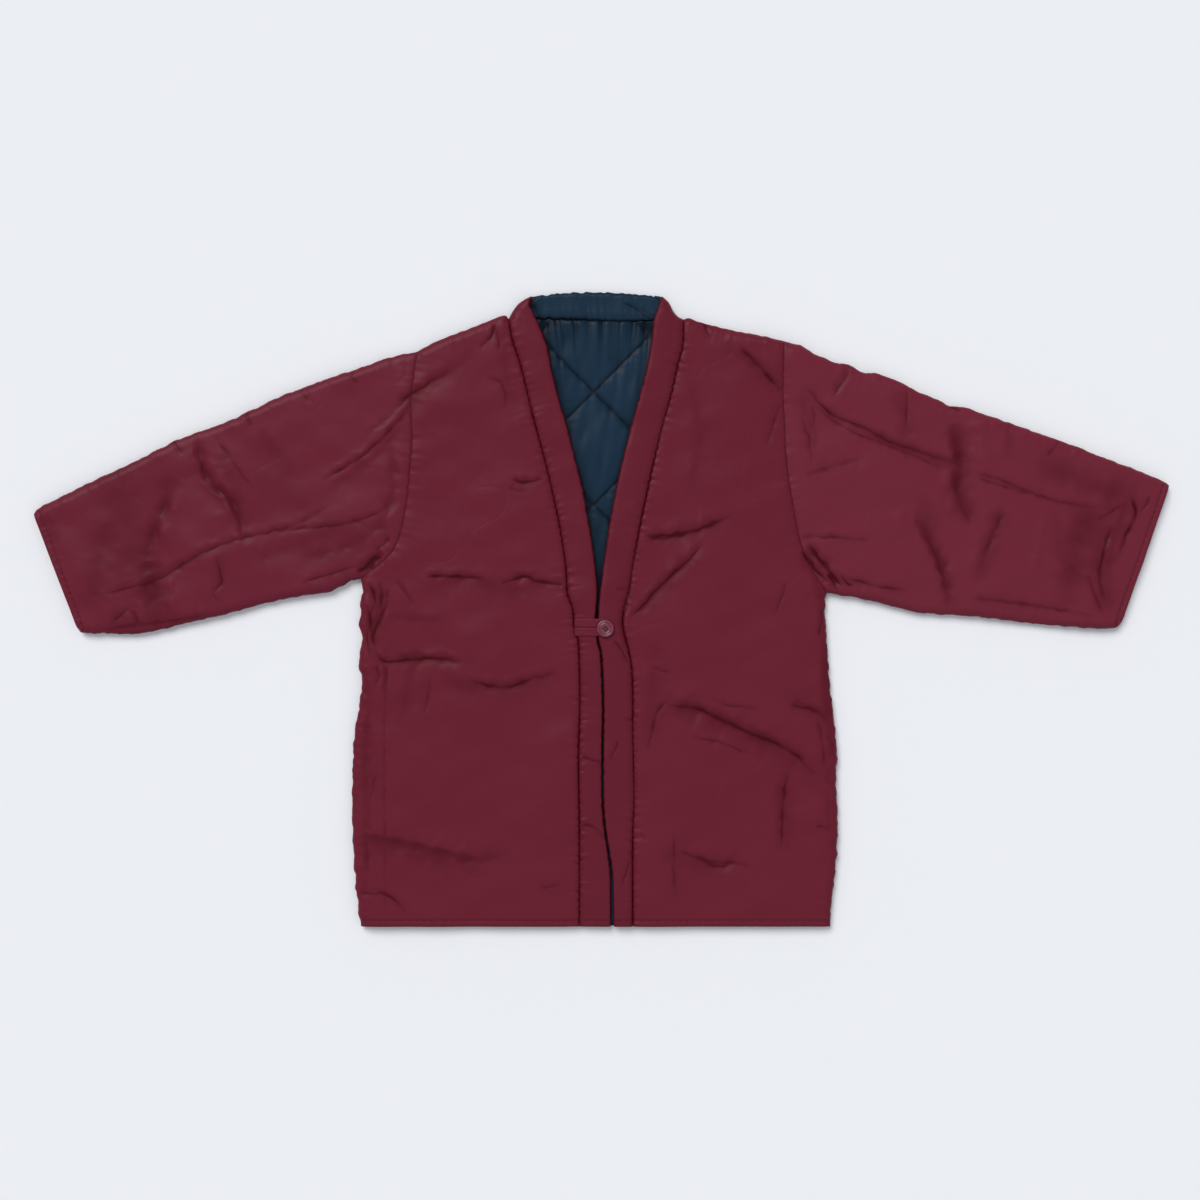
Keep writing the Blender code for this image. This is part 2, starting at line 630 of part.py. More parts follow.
def button(finish):
    """A round four-hole button with a raised rim and a dished face, turned about its axis."""
    top = BUTTON_BASE + BUTTON_THICK
    profile = (
        (0.0, top - BUTTON_DISH), (5.2, top - BUTTON_DISH), (7.4, top - 0.5), (9.2, top), (10.4, top - 0.4),
        (BUTTON_RADIUS, top - 1.3), (10.2, BUTTON_BASE + 0.5), (8.4, BUTTON_BASE), (0.0, BUTTON_BASE),
    )
    shape = bmesh.new()
    verts = [shape.verts.new((radius * MM, 0, height * MM)) for radius, height in profile]
    edges = [shape.edges.new(pair) for pair in zip(verts, verts[1:])]
    bmesh.ops.spin(
        shape, geom=verts + edges, cent=(0, 0, 0), axis=(0, 0, 1), angle=2 * math.pi, steps=32,
        use_merge=True,
    )
    bmesh.ops.remove_doubles(shape, verts=shape.verts, dist=1e-6)
    bmesh.ops.translate(shape, verts=shape.verts, vec=(BUTTON_AT[0] * MM, BUTTON_AT[1] * MM, 0))
    thing = new_object("button", mesh_of(shape, "button"), finish)
    cutters = []
    for x, y in hole_places():
        bpy.ops.mesh.primitive_cylinder_add(
            vertices=12, radius=HOLE_RADIUS * MM, depth=2 * BUTTON_THICK * MM,
            location=(x * MM, y * MM, (BUTTON_BASE + BUTTON_THICK / 2) * MM),
        )
        cutters.append(bpy.context.object)
    remove_from(thing, cutters)
    return thing


def button_thread(finish):
    """The stem of thread that the button stands on, wound round between band and button."""
    foot = TOP + max(rise for _, rise in BAND_CROWN) + SEAM_GAP
    head = BUTTON_BASE - SEAM_GAP
    shape = bmesh.new()
    bmesh.ops.create_cone(
        shape, cap_ends=True, segments=16, radius1=STEM_RADIUS * 1.15 * MM, radius2=STEM_RADIUS * MM,
        depth=(head - foot) * MM,
    )
    bmesh.ops.translate(
        shape, verts=shape.verts, vec=(BUTTON_AT[0] * MM, BUTTON_AT[1] * MM, (head + foot) / 2 * MM)
    )
    return new_object("button_stem", mesh_of(shape, "button_stem"), finish)


def button_stitches(finish):
    """Four short stitches on the button's face, from hole to hole."""
    height = BUTTON_BASE + BUTTON_THICK - BUTTON_DISH + SEAM_GAP + THREAD_RADIUS
    holes = hole_places()
    curve = bpy.data.curves.new("button_stitches", "CURVE")
    curve.dimensions = "3D"
    curve.bevel_depth = THREAD_RADIUS * MM
    curve.bevel_resolution = 1
    line = curve.splines.new("POLY")
    line.points.add(len(holes) - 1)
    for point, (x, y) in zip(line.points, holes):
        point.co = (x * MM, y * MM, height * MM, 1)
    line.use_cyclic_u = True
    thing = bpy.data.objects.new("button_stitches_line", curve)
    collection.objects.link(thing)
    bpy.context.view_layer.update()
    depsgraph = bpy.context.evaluated_depsgraph_get()
    mesh = bpy.data.meshes.new_from_object(thing.evaluated_get(depsgraph))
    bpy.data.objects.remove(thing)
    mesh.materials.clear()
    return new_object("button_stitches", mesh, finish)


def button_loop(finish):
    """A loop of tape, sewn into the right band's seam and passed round the button's stem."""
    middle = (LOOP_TAPE + SEAM_GAP) / 2
    outer_radius = middle + LOOP_TAPE / 2
    turn_radius = (outer_radius + LOOP_EYE_RADIUS) / 2
    turn_width = outer_radius - LOOP_EYE_RADIUS
    sections = []  # x, y of the tape's middle, unit direction across it, width
    runs = (0, 0.25, 0.5, 0.75, 0.9)
    for share in runs:
        x = LOOP_ROOT_X + (LOOP_TURN_X - LOOP_STRAIGHT_STOP - LOOP_ROOT_X) * share
        sections.append((x, LOOP_AXIS_Y + middle, (0, 1), LOOP_TAPE))
    steps = 10
    for step in range(steps + 1):
        angle = math.pi / 2 - math.pi * step / steps
        out = (math.cos(angle), math.sin(angle))
        sections.append(
            (LOOP_TURN_X + out[0] * turn_radius, LOOP_AXIS_Y + out[1] * turn_radius, out, turn_width)
        )
    for x, y, across, width in sections[:len(runs)][::-1]:
        sections.append((x, 2 * LOOP_AXIS_Y - y, (0, -1), width))
    seam_x = BAND_SEAM_RIGHT[3][0]
    grid = []
    for x, y, across, width in sections:
        row = []
        for share in (-0.5, -0.35, 0.35, 0.5):
            px, py = x + across[0] * width * share, y + across[1] * width * share
            sunk = SEAM_DIP * math.exp(-(((px - seam_x) / SEAM_DIP_WIDTH) ** 2))
            height = TOP + BAND_CROWN[2][1] + LOOP_CLEAR - min(sunk, 1.6)
            row.append((px, py, height))
        grid.append(row)
    grid = np.array(grid)
    raised = grid.copy()
    raised[..., 2] += LOOP_THICK
    raised[:, (0, -1), 2] -= 0.5
    return wall("button_loop", raised, grid, finish)


def build():
    maroon = material("maroon_cloth", MAROON, 0.5)
    navy = material("navy_lining", NAVY, 0.42)
    button_finish = material("button_plastic", BUTTON_COLOUR, 0.25)
    thread = material("maroon_thread", THREAD_COLOUR, 0.6)
    back(maroon)
    lining(navy)
    for side in ("right", "left"):
        front(side, maroon)
        sleeve(side, maroon)
        band(side, maroon)
    collar_back(maroon, navy)
    button_loop(maroon)
    button(button_finish)
    button_thread(thread)
    button_stitches(thread)


for old in list(bpy.data.objects):
    bpy.data.objects.remove(old, do_unlink=True)
bpy.context.scene.collection.children.link(collection)
build()
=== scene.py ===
import math

import bpy
import numpy as np
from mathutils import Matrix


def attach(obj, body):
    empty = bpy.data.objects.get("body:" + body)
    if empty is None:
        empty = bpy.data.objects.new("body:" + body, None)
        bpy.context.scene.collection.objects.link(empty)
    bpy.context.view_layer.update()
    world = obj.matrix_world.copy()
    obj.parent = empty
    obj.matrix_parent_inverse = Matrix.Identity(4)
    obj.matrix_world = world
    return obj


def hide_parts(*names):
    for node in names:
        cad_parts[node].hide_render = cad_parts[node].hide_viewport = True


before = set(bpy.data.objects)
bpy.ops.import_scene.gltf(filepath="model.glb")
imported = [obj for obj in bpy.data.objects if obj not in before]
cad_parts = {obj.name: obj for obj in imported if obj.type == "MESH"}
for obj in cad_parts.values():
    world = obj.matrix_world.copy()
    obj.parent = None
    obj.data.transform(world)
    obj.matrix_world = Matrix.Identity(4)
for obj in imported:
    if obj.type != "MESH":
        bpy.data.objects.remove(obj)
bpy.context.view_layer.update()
print("frame loaded:", len(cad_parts), "nodes")

mm = 0.001
collection = bpy.context.scene.collection

# Tables are in millimetres. The jacket lies on its back: X across, Y from hem to collar, Z up.
# Right and left are the wearer's, so the right side has negative X.

# Camera, floor and light

view = {"x": -1.9, "y": 12.2, "height": 2200.0, "lens": 51.56}
cameraData = bpy.data.cameras.new("camera")
cameraData.lens = view["lens"]
cameraData.sensor_width = 36.0
cameraData.clip_start = 0.05
camera = bpy.data.objects.new("camera", cameraData)
camera.location = (view["x"] * mm, view["y"] * mm, view["height"] * mm)
collection.objects.link(camera)
bpy.context.scene.camera = camera
bpy.context.scene.view_settings.view_transform = "Standard"

studio = {
    "skyColour": (0.92, 0.95, 1.0), "skyStrength": 0.46,
    "keyPower": 2.12, "keySpread": 34.0, "keyPlace": (-4.6, 8.0, 11.4), "keyColour": (1.0, 0.985, 0.97),
    "fillPower": 0.36, "fillSpread": 70.0, "fillPlace": (3.6, -6.6, 10.0),
    "floorSize": 20.0, "floorColour": (0.80, 0.815, 0.845),
}


def softLight(name, place, spread, power, colour=(1, 1, 1)):
    data = bpy.data.lights.new(name, "SUN")
    data.angle = math.radians(spread)
    data.energy = power
    data.color = colour
    lamp = bpy.data.objects.new(name, data)
    lamp.location = place
    away = np.array(place) / np.linalg.norm(place)
    lamp.rotation_euler = (math.acos(away[2]), 0, math.atan2(away[1], away[0]) + math.pi / 2)
    collection.objects.link(lamp)
    return lamp


softLight("keyLight", studio["keyPlace"], studio["keySpread"], studio["keyPower"], studio["keyColour"])
softLight("fillLight", studio["fillPlace"], studio["fillSpread"], studio["fillPower"])
world = bpy.data.worlds.new("sky")
bpy.context.scene.world = world
world.use_nodes = True
world.node_tree.nodes["Background"].inputs["Color"].default_value = (*studio["skyColour"], 1)
world.node_tree.nodes["Background"].inputs["Strength"].default_value = studio["skyStrength"]
print("camera and light placed")


# Materials

def newGroup(name, inputs, outputs):
    tree = bpy.data.node_groups.new(name, "ShaderNodeTree")
    for label, kind, value in inputs:
        socket = tree.interface.new_socket(label, in_out="INPUT", socket_type=kind)
        if value is not None:
            socket.default_value = value
    for label, kind in outputs:
        tree.interface.new_socket(label, in_out="OUTPUT", socket_type=kind)
    return tree, tree.nodes.new("NodeGroupInput"), tree.nodes.new("NodeGroupOutput")


def addNode(tree, kind, links=None, **values):
    """"""
    node = tree.nodes.new(kind)
    for key, value in values.items():
        if hasattr(node, key):
            setattr(node, key, value)
        else:
            node.inputs[key.replace("_", " ")].default_value = value
    for key, socket in (links or {}).items():
        tree.links.new(socket, node.inputs[key])
    return node


def mathNode(tree, operation, first, second):
    node = tree.nodes.new("ShaderNodeMath")
    node.operation = operation
    for socket, value in zip(node.inputs, (first, second)):
        if isinstance(value, (int, float)):
            socket.default_value = value
        else:
            tree.links.new(value, socket)
    return node.outputs[0]


# Plain weave: threads over and under each other, as a height
weaveTree, weaveIn, weaveOut = newGroup(
    "plainWeave",
    (("Vector", "NodeSocketVector", None), ("Threads per metre", "NodeSocketFloat", 2200.0)),
    (("Height", "NodeSocketFloat"), ("Slub", "NodeSocketFloat")),
)
weaveScaled = addNode(weaveTree, "ShaderNodeVectorMath", operation="SCALE")
weaveTree.links.new(weaveIn.outputs["Vector"], weaveScaled.inputs[0])
weaveTree.links.new(weaveIn.outputs["Threads per metre"], weaveScaled.inputs["Scale"])
weaveParts = addNode(weaveTree, "ShaderNodeSeparateXYZ", {0: weaveScaled.outputs[0]})
warp = mathNode(weaveTree, "SINE", mathNode(weaveTree, "MULTIPLY", weaveParts.outputs[0], math.pi), 0)
weft = mathNode(weaveTree, "SINE", mathNode(weaveTree, "MULTIPLY", weaveParts.outputs[1], math.pi), 0)
weaveTree.links.new(mathNode(weaveTree, "MULTIPLY", warp, weft), weaveOut.inputs["Height"])
slubStretch = addNode(weaveTree, "ShaderNodeMapping", {"Vector": weaveIn.outputs["Vector"]}, Scale=(60, 900, 60))
slub = addNode(weaveTree, "ShaderNodeTexNoise", {"Vector": slubStretch.outputs[0]}, Scale=1.0, Detail=2.0)
weaveTree.links.new(slub.outputs["Fac"], weaveOut.inputs["Slub"])

# Cloth colour: broad and fine random changes of brightness, mixed towards a shade colour where the painted shade
# attribute is high
toneAndShadeTree, toneAndShadeIn, toneAndShadeOut = newGroup(
    "clothToneAndPaintedShade",
    (("Vector", "NodeSocketVector", None), ("Colour", "NodeSocketColor", (1, 1, 1, 1)),
     ("Deep", "NodeSocketColor", (0, 0, 0, 1)), ("Fold", "NodeSocketFloat", 0.0),
     ("Change", "NodeSocketFloat", 0.1)),
    (("Colour", "NodeSocketColor"), ("Mottle", "NodeSocketFloat")),
)
broad = addNode(toneAndShadeTree, "ShaderNodeTexNoise", {"Vector": toneAndShadeIn.outputs["Vector"]}, Scale=7.0, Detail=3.0)
weft = addNode(toneAndShadeTree, "ShaderNodeMapping", {"Vector": toneAndShadeIn.outputs["Vector"]}, Scale=(9, 420, 9))
fine = addNode(toneAndShadeTree, "ShaderNodeTexNoise", {"Vector": weft.outputs[0]}, Scale=1.0, Detail=3.0)
mottle = mathNode(toneAndShadeTree, "ADD", mathNode(toneAndShadeTree, "MULTIPLY", broad.outputs["Fac"], 0.7),
                  mathNode(toneAndShadeTree, "MULTIPLY", fine.outputs["Fac"], 0.3))
shift = mathNode(toneAndShadeTree, "MULTIPLY", mathNode(toneAndShadeTree, "SUBTRACT", mottle, 0.5), toneAndShadeIn.outputs["Change"])
brighter = addNode(toneAndShadeTree, "ShaderNodeHueSaturation",
                   {"Color": toneAndShadeIn.outputs["Colour"], "Value": mathNode(toneAndShadeTree, "ADD", shift, 1.0)})
mixed = addNode(toneAndShadeTree, "ShaderNodeMix", data_type="RGBA")
toneAndShadeTree.links.new(toneAndShadeIn.outputs["Fold"], mixed.inputs[0])
toneAndShadeTree.links.new(brighter.outputs[0], mixed.inputs[6])
toneAndShadeTree.links.new(toneAndShadeIn.outputs["Deep"], mixed.inputs[7])
toneAndShadeTree.links.new(mixed.outputs[2], toneAndShadeOut.inputs["Colour"])
toneAndShadeTree.links.new(mottle, toneAndShadeOut.inputs["Mottle"])


def clothMaterial(name, look):
    made = bpy.data.materials.new(name)
    made.use_nodes = True
    tree = made.node_tree
    shader = tree.nodes["Principled BSDF"]
    place = tree.nodes.new("ShaderNodeTexCoord").outputs["Object"]
    # the painted shade attribute darkens the cloth towards its shade colour in creases, seams, gaps and other places
    # where shade falls
    fold = addNode(tree, "ShaderNodeAttribute", attribute_name="fold")
    toneAndShade = tree.nodes.new("ShaderNodeGroup")
    toneAndShade.node_tree = toneAndShadeTree
    toneAndShade.inputs["Colour"].default_value = (*look["colour"], 1)
    toneAndShade.inputs["Deep"].default_value = (*look["deep"], 1)
    toneAndShade.inputs["Change"].default_value = look["change"]
    tree.links.new(place, toneAndShade.inputs["Vector"])
    tree.links.new(fold.outputs["Fac"], toneAndShade.inputs["Fold"])
    tree.links.new(toneAndShade.outputs["Colour"], shader.inputs["Base Color"])
    weave = tree.nodes.new("ShaderNodeGroup")
    weave.node_tree = weaveTree
    weave.inputs["Threads per metre"].default_value = look["threads"]
    tree.links.new(place, weave.inputs["Vector"])
    bump = addNode(tree, "ShaderNodeBump", Strength=look["weaveStrength"], Distance=look["weaveDepth"] * mm)
    tree.links.new(weave.outputs["Height"], bump.inputs["Height"])
    slubBump = addNode(tree, "ShaderNodeBump", Strength=look["slubStrength"], Distance=0.1 * mm)
    tree.links.new(weave.outputs["Slub"], slubBump.inputs["Height"])
    tree.links.new(bump.outputs["Normal"], slubBump.inputs["Normal"])
    tree.links.new(slubBump.outputs["Normal"], shader.inputs["Normal"])
    rough = mathNode(tree, "MULTIPLY", mathNode(tree, "SUBTRACT", toneAndShade.outputs["Mottle"], 0.5), 0.12)
    tree.links.new(mathNode(tree, "ADD", rough, look["roughness"]), shader.inputs["Roughness"])
    shader.inputs["Metallic"].default_value = 0.0
    shader.inputs["Specular IOR Level"].default_value = look["specular"]
    shader.inputs["Sheen Weight"].default_value = look["sheen"]
    shader.inputs["Sheen Roughness"].default_value = 0.4
    shader.inputs["Sheen Tint"].default_value = (*look["sheenTint"], 1)
    return made


# each look carries a second, darker colour: the colour of painted shade in creases, seams and gaps
maroonLook = {
    "colour": (0.124, 0.0112, 0.0245), "deep": (0.052, 0.0006, 0.0035), "change": 0.08, "threads": 2100.0,
    "weaveStrength": 0.25, "weaveDepth": 0.05, "slubStrength": 0.08, "roughness": 0.38, "specular": 0.09,
    "sheen": 0.02, "sheenTint": (1.0, 0.62, 0.66),
}
navyLook = {
    "colour": (0.0088, 0.0262, 0.0495), "deep": (0.0012, 0.0055, 0.0125), "change": 0.10, "threads": 2400.0,
    "weaveStrength": 0.2, "weaveDepth": 0.04, "slubStrength": 0.06, "roughness": 0.36, "specular": 0.08,
    "sheen": 0.02, "sheenTint": (0.7, 0.86, 1.0),
}
maroon = clothMaterial("maroonTaffeta", maroonLook)
navy = clothMaterial("navyLining", navyLook)


# lighter copies of the maroon cloth for the sleeves: painted sheen, as if their satin caught more light along its grain
sleeveSheenMaroon = {
    "Right": clothMaterial("maroonSleeveRightPaintedSheen", {**maroonLook, "colour": (0.129, 0.0125, 0.0275)}),
    "Left": clothMaterial("maroonSleeveLeftPaintedSheen", {**maroonLook, "colour": (0.139, 0.0150, 0.0300)}),
}


def threadMaterial(name, colour):
    made = bpy.data.materials.new(name)
    made.use_nodes = True
    tree = made.node_tree
    shader = tree.nodes["Principled BSDF"]
    place = tree.nodes.new("ShaderNodeTexCoord").outputs["Object"]
    strands = addNode(tree, "ShaderNodeTexNoise", {"Vector": place}, Scale=2600.0, Detail=2.0)
    ramp = tree.nodes.new("ShaderNodeValToRGB")
    ramp.color_ramp.elements[0].color = (*[0.55 * part for part in colour], 1)
    ramp.color_ramp.elements[1].color = (*[1.3 * part for part in colour], 1)
    tree.links.new(strands.outputs["Fac"], ramp.inputs["Fac"])
    tree.links.new(ramp.outputs["Color"], shader.inputs["Base Color"])
    bump = addNode(tree, "ShaderNodeBump", {"Height": strands.outputs["Fac"]}, Strength=0.4, Distance=0.0001)
    tree.links.new(bump.outputs["Normal"], shader.inputs["Normal"])
    shader.inputs["Roughness"].default_value = 0.55
    return made


maroonThread = threadMaterial("maroonThread", (0.11, 0.012, 0.026))
navyThread = threadMaterial("navyThread", (0.010, 0.020, 0.034))
buttonThread = threadMaterial("buttonThread", (0.040, 0.0025, 0.008))


def plasticMaterial(name, look):
    made = bpy.data.materials.new(name)
    made.use_nodes = True
    tree = made.node_tree
    shader = tree.nodes["Principled BSDF"]
    place = tree.nodes.new("ShaderNodeTexCoord").outputs["Object"]
    cloud = addNode(tree, "ShaderNodeTexNoise", {"Vector": place}, Scale=320.0, Detail=3.0, Distortion=0.6)
    ramp = tree.nodes.new("ShaderNodeValToRGB")
    ramp.color_ramp.elements[0].position = 0.3
    ramp.color_ramp.elements[1].position = 0.75
    ramp.color_ramp.elements[0].color = (*look["dark"], 1)
    ramp.color_ramp.elements[1].color = (*look["light"], 1)
    tree.links.new(cloud.outputs["Fac"], ramp.inputs["Fac"])
    tree.links.new(ramp.outputs["Color"], shader.inputs["Base Color"])
    scratches = addNode(tree, "ShaderNodeTexNoise", {"Vector": place}, Scale=1500.0, Detail=2.0)
    bump = addNode(tree, "ShaderNodeBump", {"Height": scratches.outputs["Fac"]}, Strength=0.08, Distance=0.0001)
    tree.links.new(bump.outputs["Normal"], shader.inputs["Normal"])
    shader.inputs["Roughness"].default_value = look["roughness"]
    shader.inputs["Coat Weight"].default_value = look["coat"]
    shader.inputs["Coat Roughness"].default_value = 0.12
    return made


buttonPlastic = plasticMaterial("buttonPlastic", {
    "dark": (0.098, 0.011, 0.023), "light": (0.180, 0.027, 0.054), "roughness": 0.3, "coat": 0.15,
})

floorMaterial = bpy.data.materials.new("paleFloor")
floorMaterial.use_nodes = True
floorShader = floorMaterial.node_tree.nodes["Principled BSDF"]
floorShader.inputs["Base Color"].default_value = (*studio["floorColour"], 1)
floorShader.inputs["Roughness"].default_value = 0.75
floorShader.inputs["Specular IOR Level"].default_value = 0.2
half = studio["floorSize"] / 2
floorMesh = bpy.data.meshes.new("floor")
floorMesh.from_pydata(
    [(-half, -half, -0.0004), (half, -half, -0.0004), (half, half, -0.0004), (-half, half, -0.0004)], [],
    [(0, 1, 2, 3)],
)
floorMesh.materials.append(floorMaterial)
floor = bpy.data.objects.new("floor", floorMesh)
collection.objects.link(floor)
print("materials made")


# Lines of the plan

def smoothLine(points, steps=8):
    given = np.array(points, float)
    padded = np.vstack([2 * given[0] - given[1], given, 2 * given[-1] - given[-2]])
    t = (np.arange(steps) / steps)[:, None]
    line = [
        0.5 * (2 * b + (c - a) * t + (2 * a - 5 * b + 4 * c - d) * t**2 + (3 * b - a - 3 * c + d) * t**3)
        for a, b, c, d in zip(padded, padded[1:], padded[2:], padded[3:])
    ]
    return np.vstack(line + [given[-1:]])


def lengthsAlong(line):
    return np.concatenate([[0], np.cumsum(np.linalg.norm(np.diff(line, axis=0), axis=1))])


def atShares(line, shares):
    along = lengthsAlong(line)
    return np.stack([np.interp(shares, along / along[-1], line[:, axis]) for axis in (0, 1)], axis=1)


def joined(*lines):
    return np.vstack([lines[0]] + [line[1:] for line in lines[1:]])


def leftNormals(points):
    ahead = np.gradient(points, axis=0)
    ahead /= np.linalg.norm(ahead, axis=1)[:, None]
    return np.stack([-ahead[:, 1], ahead[:, 0]], axis=1)


def straight(start, end, shares):
    return np.outer(1 - np.array(shares), start) + np.outer(shares, end)


def softWaves(points, size, seed, count=10):
    draw = np.random.default_rng(seed)  # a smooth uneven height, mostly from -1 to 1
    total = np.zeros(points.shape[:-1])
    for turn in range(count):
        angle, phase = draw.uniform(0, 2 * math.pi, 2)
        length = size * draw.uniform(0.7, 1.5)
        across = points[..., 0] * math.cos(angle) + points[..., 1] * math.sin(angle)
        total += np.sin(2 * math.pi * across / length + phase)
    return total / math.sqrt(2 * count)


def waves(along, size, seed, count=7):
    draw = np.random.default_rng(seed)  # the same along a line
    total = np.zeros(np.shape(along))
    for turn in range(count):
        total += np.sin(2 * math.pi * along / (size * draw.uniform(0.6, 1.6)) + draw.uniform(0, 2 * math.pi))
    return total / math.sqrt(2 * count)


hemY = -404.0
lineTables = {
    "shoulderRight": (
        (-118.4, 370.6), (-124.5, 375.2), (-146, 367.3), (-169.7, 357.8), (-192, 349.6), (-215.4, 339.8),
        (-235, 329),
    ),
    "sleeveTopRight": (
        (-235, 329), (-254, 325.2), (-274.2, 320.5), (-310, 307.5), (-341, 297.5), (-372, 286.2),
        (-392, 278.5), (-411, 271.6), (-431, 261.5), (-450.4, 252.7), (-467, 244.5), (-483.2, 237.4),
        (-512, 227.2), (-541.8, 216.1), (-567.9, 203), (-591, 191), (-613.8, 180.1), (-648, 164.5),
        (-682.2, 147.5), (-701.8, 137.6), (-718, 129.5), (-724, 122),
    ),
    "sleeveUnderRight": (
        (-306.5, 39.5), (-323.1, 34.8), (-346, 22.8), (-385.2, 16.9), (-417.8, 10.4), (-442, 4.5),
        (-466.8, -2.7), (-491, -8.8), (-515.7, -14.2), (-538, -19.5), (-561.4, -25.6), (-580, -29),
        (-597.4, -31.5), (-633.3, -30.5), (-661.1, -30), (-667.8, -24.5),
    ),
    "armholeRight": (
        (-235, 329), (-239.5, 295), (-243.1, 265.1), (-241.4, 212.7), (-244.7, 173.6), (-247.9, 137.7),
        (-256.4, 96.9), (-267.8, 72), (-286, 55.5), (-306.5, 39.5),
    ),
    "sideRight": (
        (-306.5, 39.5), (-305.2, 24), (-306.8, 7.6), (-308.4, -20.4), (-305.3, -39), (-309.9, -70),
        (-305.3, -88.7), (-309.9, -129), (-314.5, -153.9), (-316.8, -184.8), (-318, -234.5),
        (-317.7, -277.9), (-314.5, -340), (-309.9, -383.4), (-306.8, hemY),
    ),
    "neckSeamRight": (
        (-118.4, 370.6), (-113.5, 343.2), (-103.8, 313.7), (-94.8, 277.9), (-87.4, 246.8), (-77.7, 210.9),
        (-69.5, 179.8), (-60.5, 141), (-52.6, 102.3), (-46.2, 60.3), (-44.8, 43),
    ),
    "bandSeamRight": (
        (-44.8, 43), (-43.1, 20), (-36.9, 1.3), (-33.8, -26.6), (-29.4, -42.1), (-28, -80), (-27.6, -122.8),
        (-29.2, -191), (-28.2, -274.8), (-28.2, hemY),
    ),
    "bandFoldRight": ((-118.4, 370.6), (-113.5, 380), (-106.4, 389.4), (-98, 395.5), (-90, 399.5)),
    "bandEdgeTopRight": (
        (-90, 399.5), (-91, 386), (-82.6, 369.3), (-69.5, 336.6), (-63, 304), (-53.1, 264.7),
        (-45.1, 238.7), (-33.5, 192.9), (-23.4, 152.4), (-18.8, 126.2), (-13.1, 94.2), (-8.2, 60), (-6.5, 43),
    ),
    "bandEdgeRight": (
        (-6.5, 43), (-5.2, 20), (-7.4, -11), (-5.6, -39), (-1.0, -61), (1.4, -123), (0.8, -172),
        (0.8, -240), (3.6, -278), (8.2, -309), (11.6, -340), (12.2, hemY),
    ),
    "shoulderLeft": (
        (104.8, 370), (112, 371.5), (127.4, 366), (160, 357.8), (180, 353.6), (199.2, 350.3), (216, 346.5),
        (232.4, 342.5),
    ),
    "sleeveTopLeft": (
        (232.4, 342.5), (243, 340), (254.6, 336.3), (264, 331), (274.2, 325.4), (287, 319.2), (300.3, 314.8),
        (313.3, 313.1), (322, 308.5), (331.4, 303.4), (341, 301.8), (352.5, 300.9), (365, 296.5),
        (378.6, 291.2), (392, 284.5), (404.9, 277.1), (424.3, 270), (440.7, 261.1), (452, 259), (463.6, 257.9),
        (489.6, 248.7), (511, 241.5), (532.1, 234), (556, 225.5), (581.1, 216.7), (607, 207.5),
        (633.3, 196.5), (659, 187), (685.4, 176.9), (702, 170), (717, 163.4), (724, 158.5),
    ),
    "sleeveUnderLeft": (
        (287.5, 21), (313.3, 16.9), (339.5, 11.9), (372.1, 3.8), (392, -1.5), (411.4, -4.8), (457.1, -7.7),
        (480, -9.5), (506, -12.5), (530, -15.6), (555, -18.4), (578, -20.5), (600.7, -22.3),
        (634, -24.6), (656.3, -23), (662.6, -17.4),
    ),
    "armholeLeft": (
        (232.4, 342.5), (231.2, 310), (231, 278.1), (233, 236), (235, 193.2), (241.5, 144.3), (251, 94.1),
        (258.8, 69.6), (270.5, 46), (287.5, 21),
    ),
    "sideLeft": (
        (287.5, 21), (284.6, 8), (286.6, -29.7), (289.7, -76.2), (291.2, -97.9), (295.9, -135.2),
        (300.5, -184.8), (299, -215.8), (301.2, -262.4), (300.5, -302.7), (297.5, -339.8),
        (292.7, -380.3), (292, hemY),
    ),
    "neckSeamLeft": (
        (104.8, 370), (103.6, 336.6), (97, 310.4), (87.2, 268), (77.4, 233.7), (70.9, 206), (64.4, 178.6),
        (56.5, 142), (49.2, 106.9), (39.9, 57.2), (37.4, 40),
    ),
    "bandSeamLeft": (
        (37.4, 40), (35.3, 26.1), (29.1, 1.3), (27.1, -20.4), (33.8, -48.4), (38.4, -73.1), (39.9, -110.3),
        (39.9, -153.9), (41.5, -240.6), (39.9, -287.2), (39.9, hemY),
    ),
    "bandFoldLeft": ((104.8, 370), (98, 373.4), (91.8, 380), (86.2, 391.2), (77.5, 399.5)),
    "bandEdgeTopLeft": (
        (77.5, 399.5), (72.6, 386.6), (65.9, 367.6), (64.4, 349.7), (57.9, 310.4), (49.7, 277.9),
        (36.6, 230.5), (23.6, 178.6), (15.5, 139.9), (9.2, 105.6), (5.1, 77), (1.6, 54), (0.6, 43),
    ),
    "bandEdgeLeft": (
        (0.6, 43), (-2.4, 20), (-4.4, -11), (-3.8, -39), (0.5, -61), (2.8, -123), (2.2, -172), (2.3, -240),
        (5.2, -278), (10.0, -309), (14.2, -340), (15.6, hemY),
    ),
    "neckSeamBack": (
        (-118.4, 370.6), (-100, 371.5), (-76, 372), (-32, 371), (-7.5, 369.5), (25, 368.5), (50, 369),
        (80, 370), (104.8, 370),
    ),
    "collarTop": ((-90, 399.5), (-68, 402), (-45, 404.3), (-2, 405), (36.5, 403.2), (60, 401), (77.5, 399.5)),
}
lines = {name: smoothLine(table) for name, table in lineTables.items()}

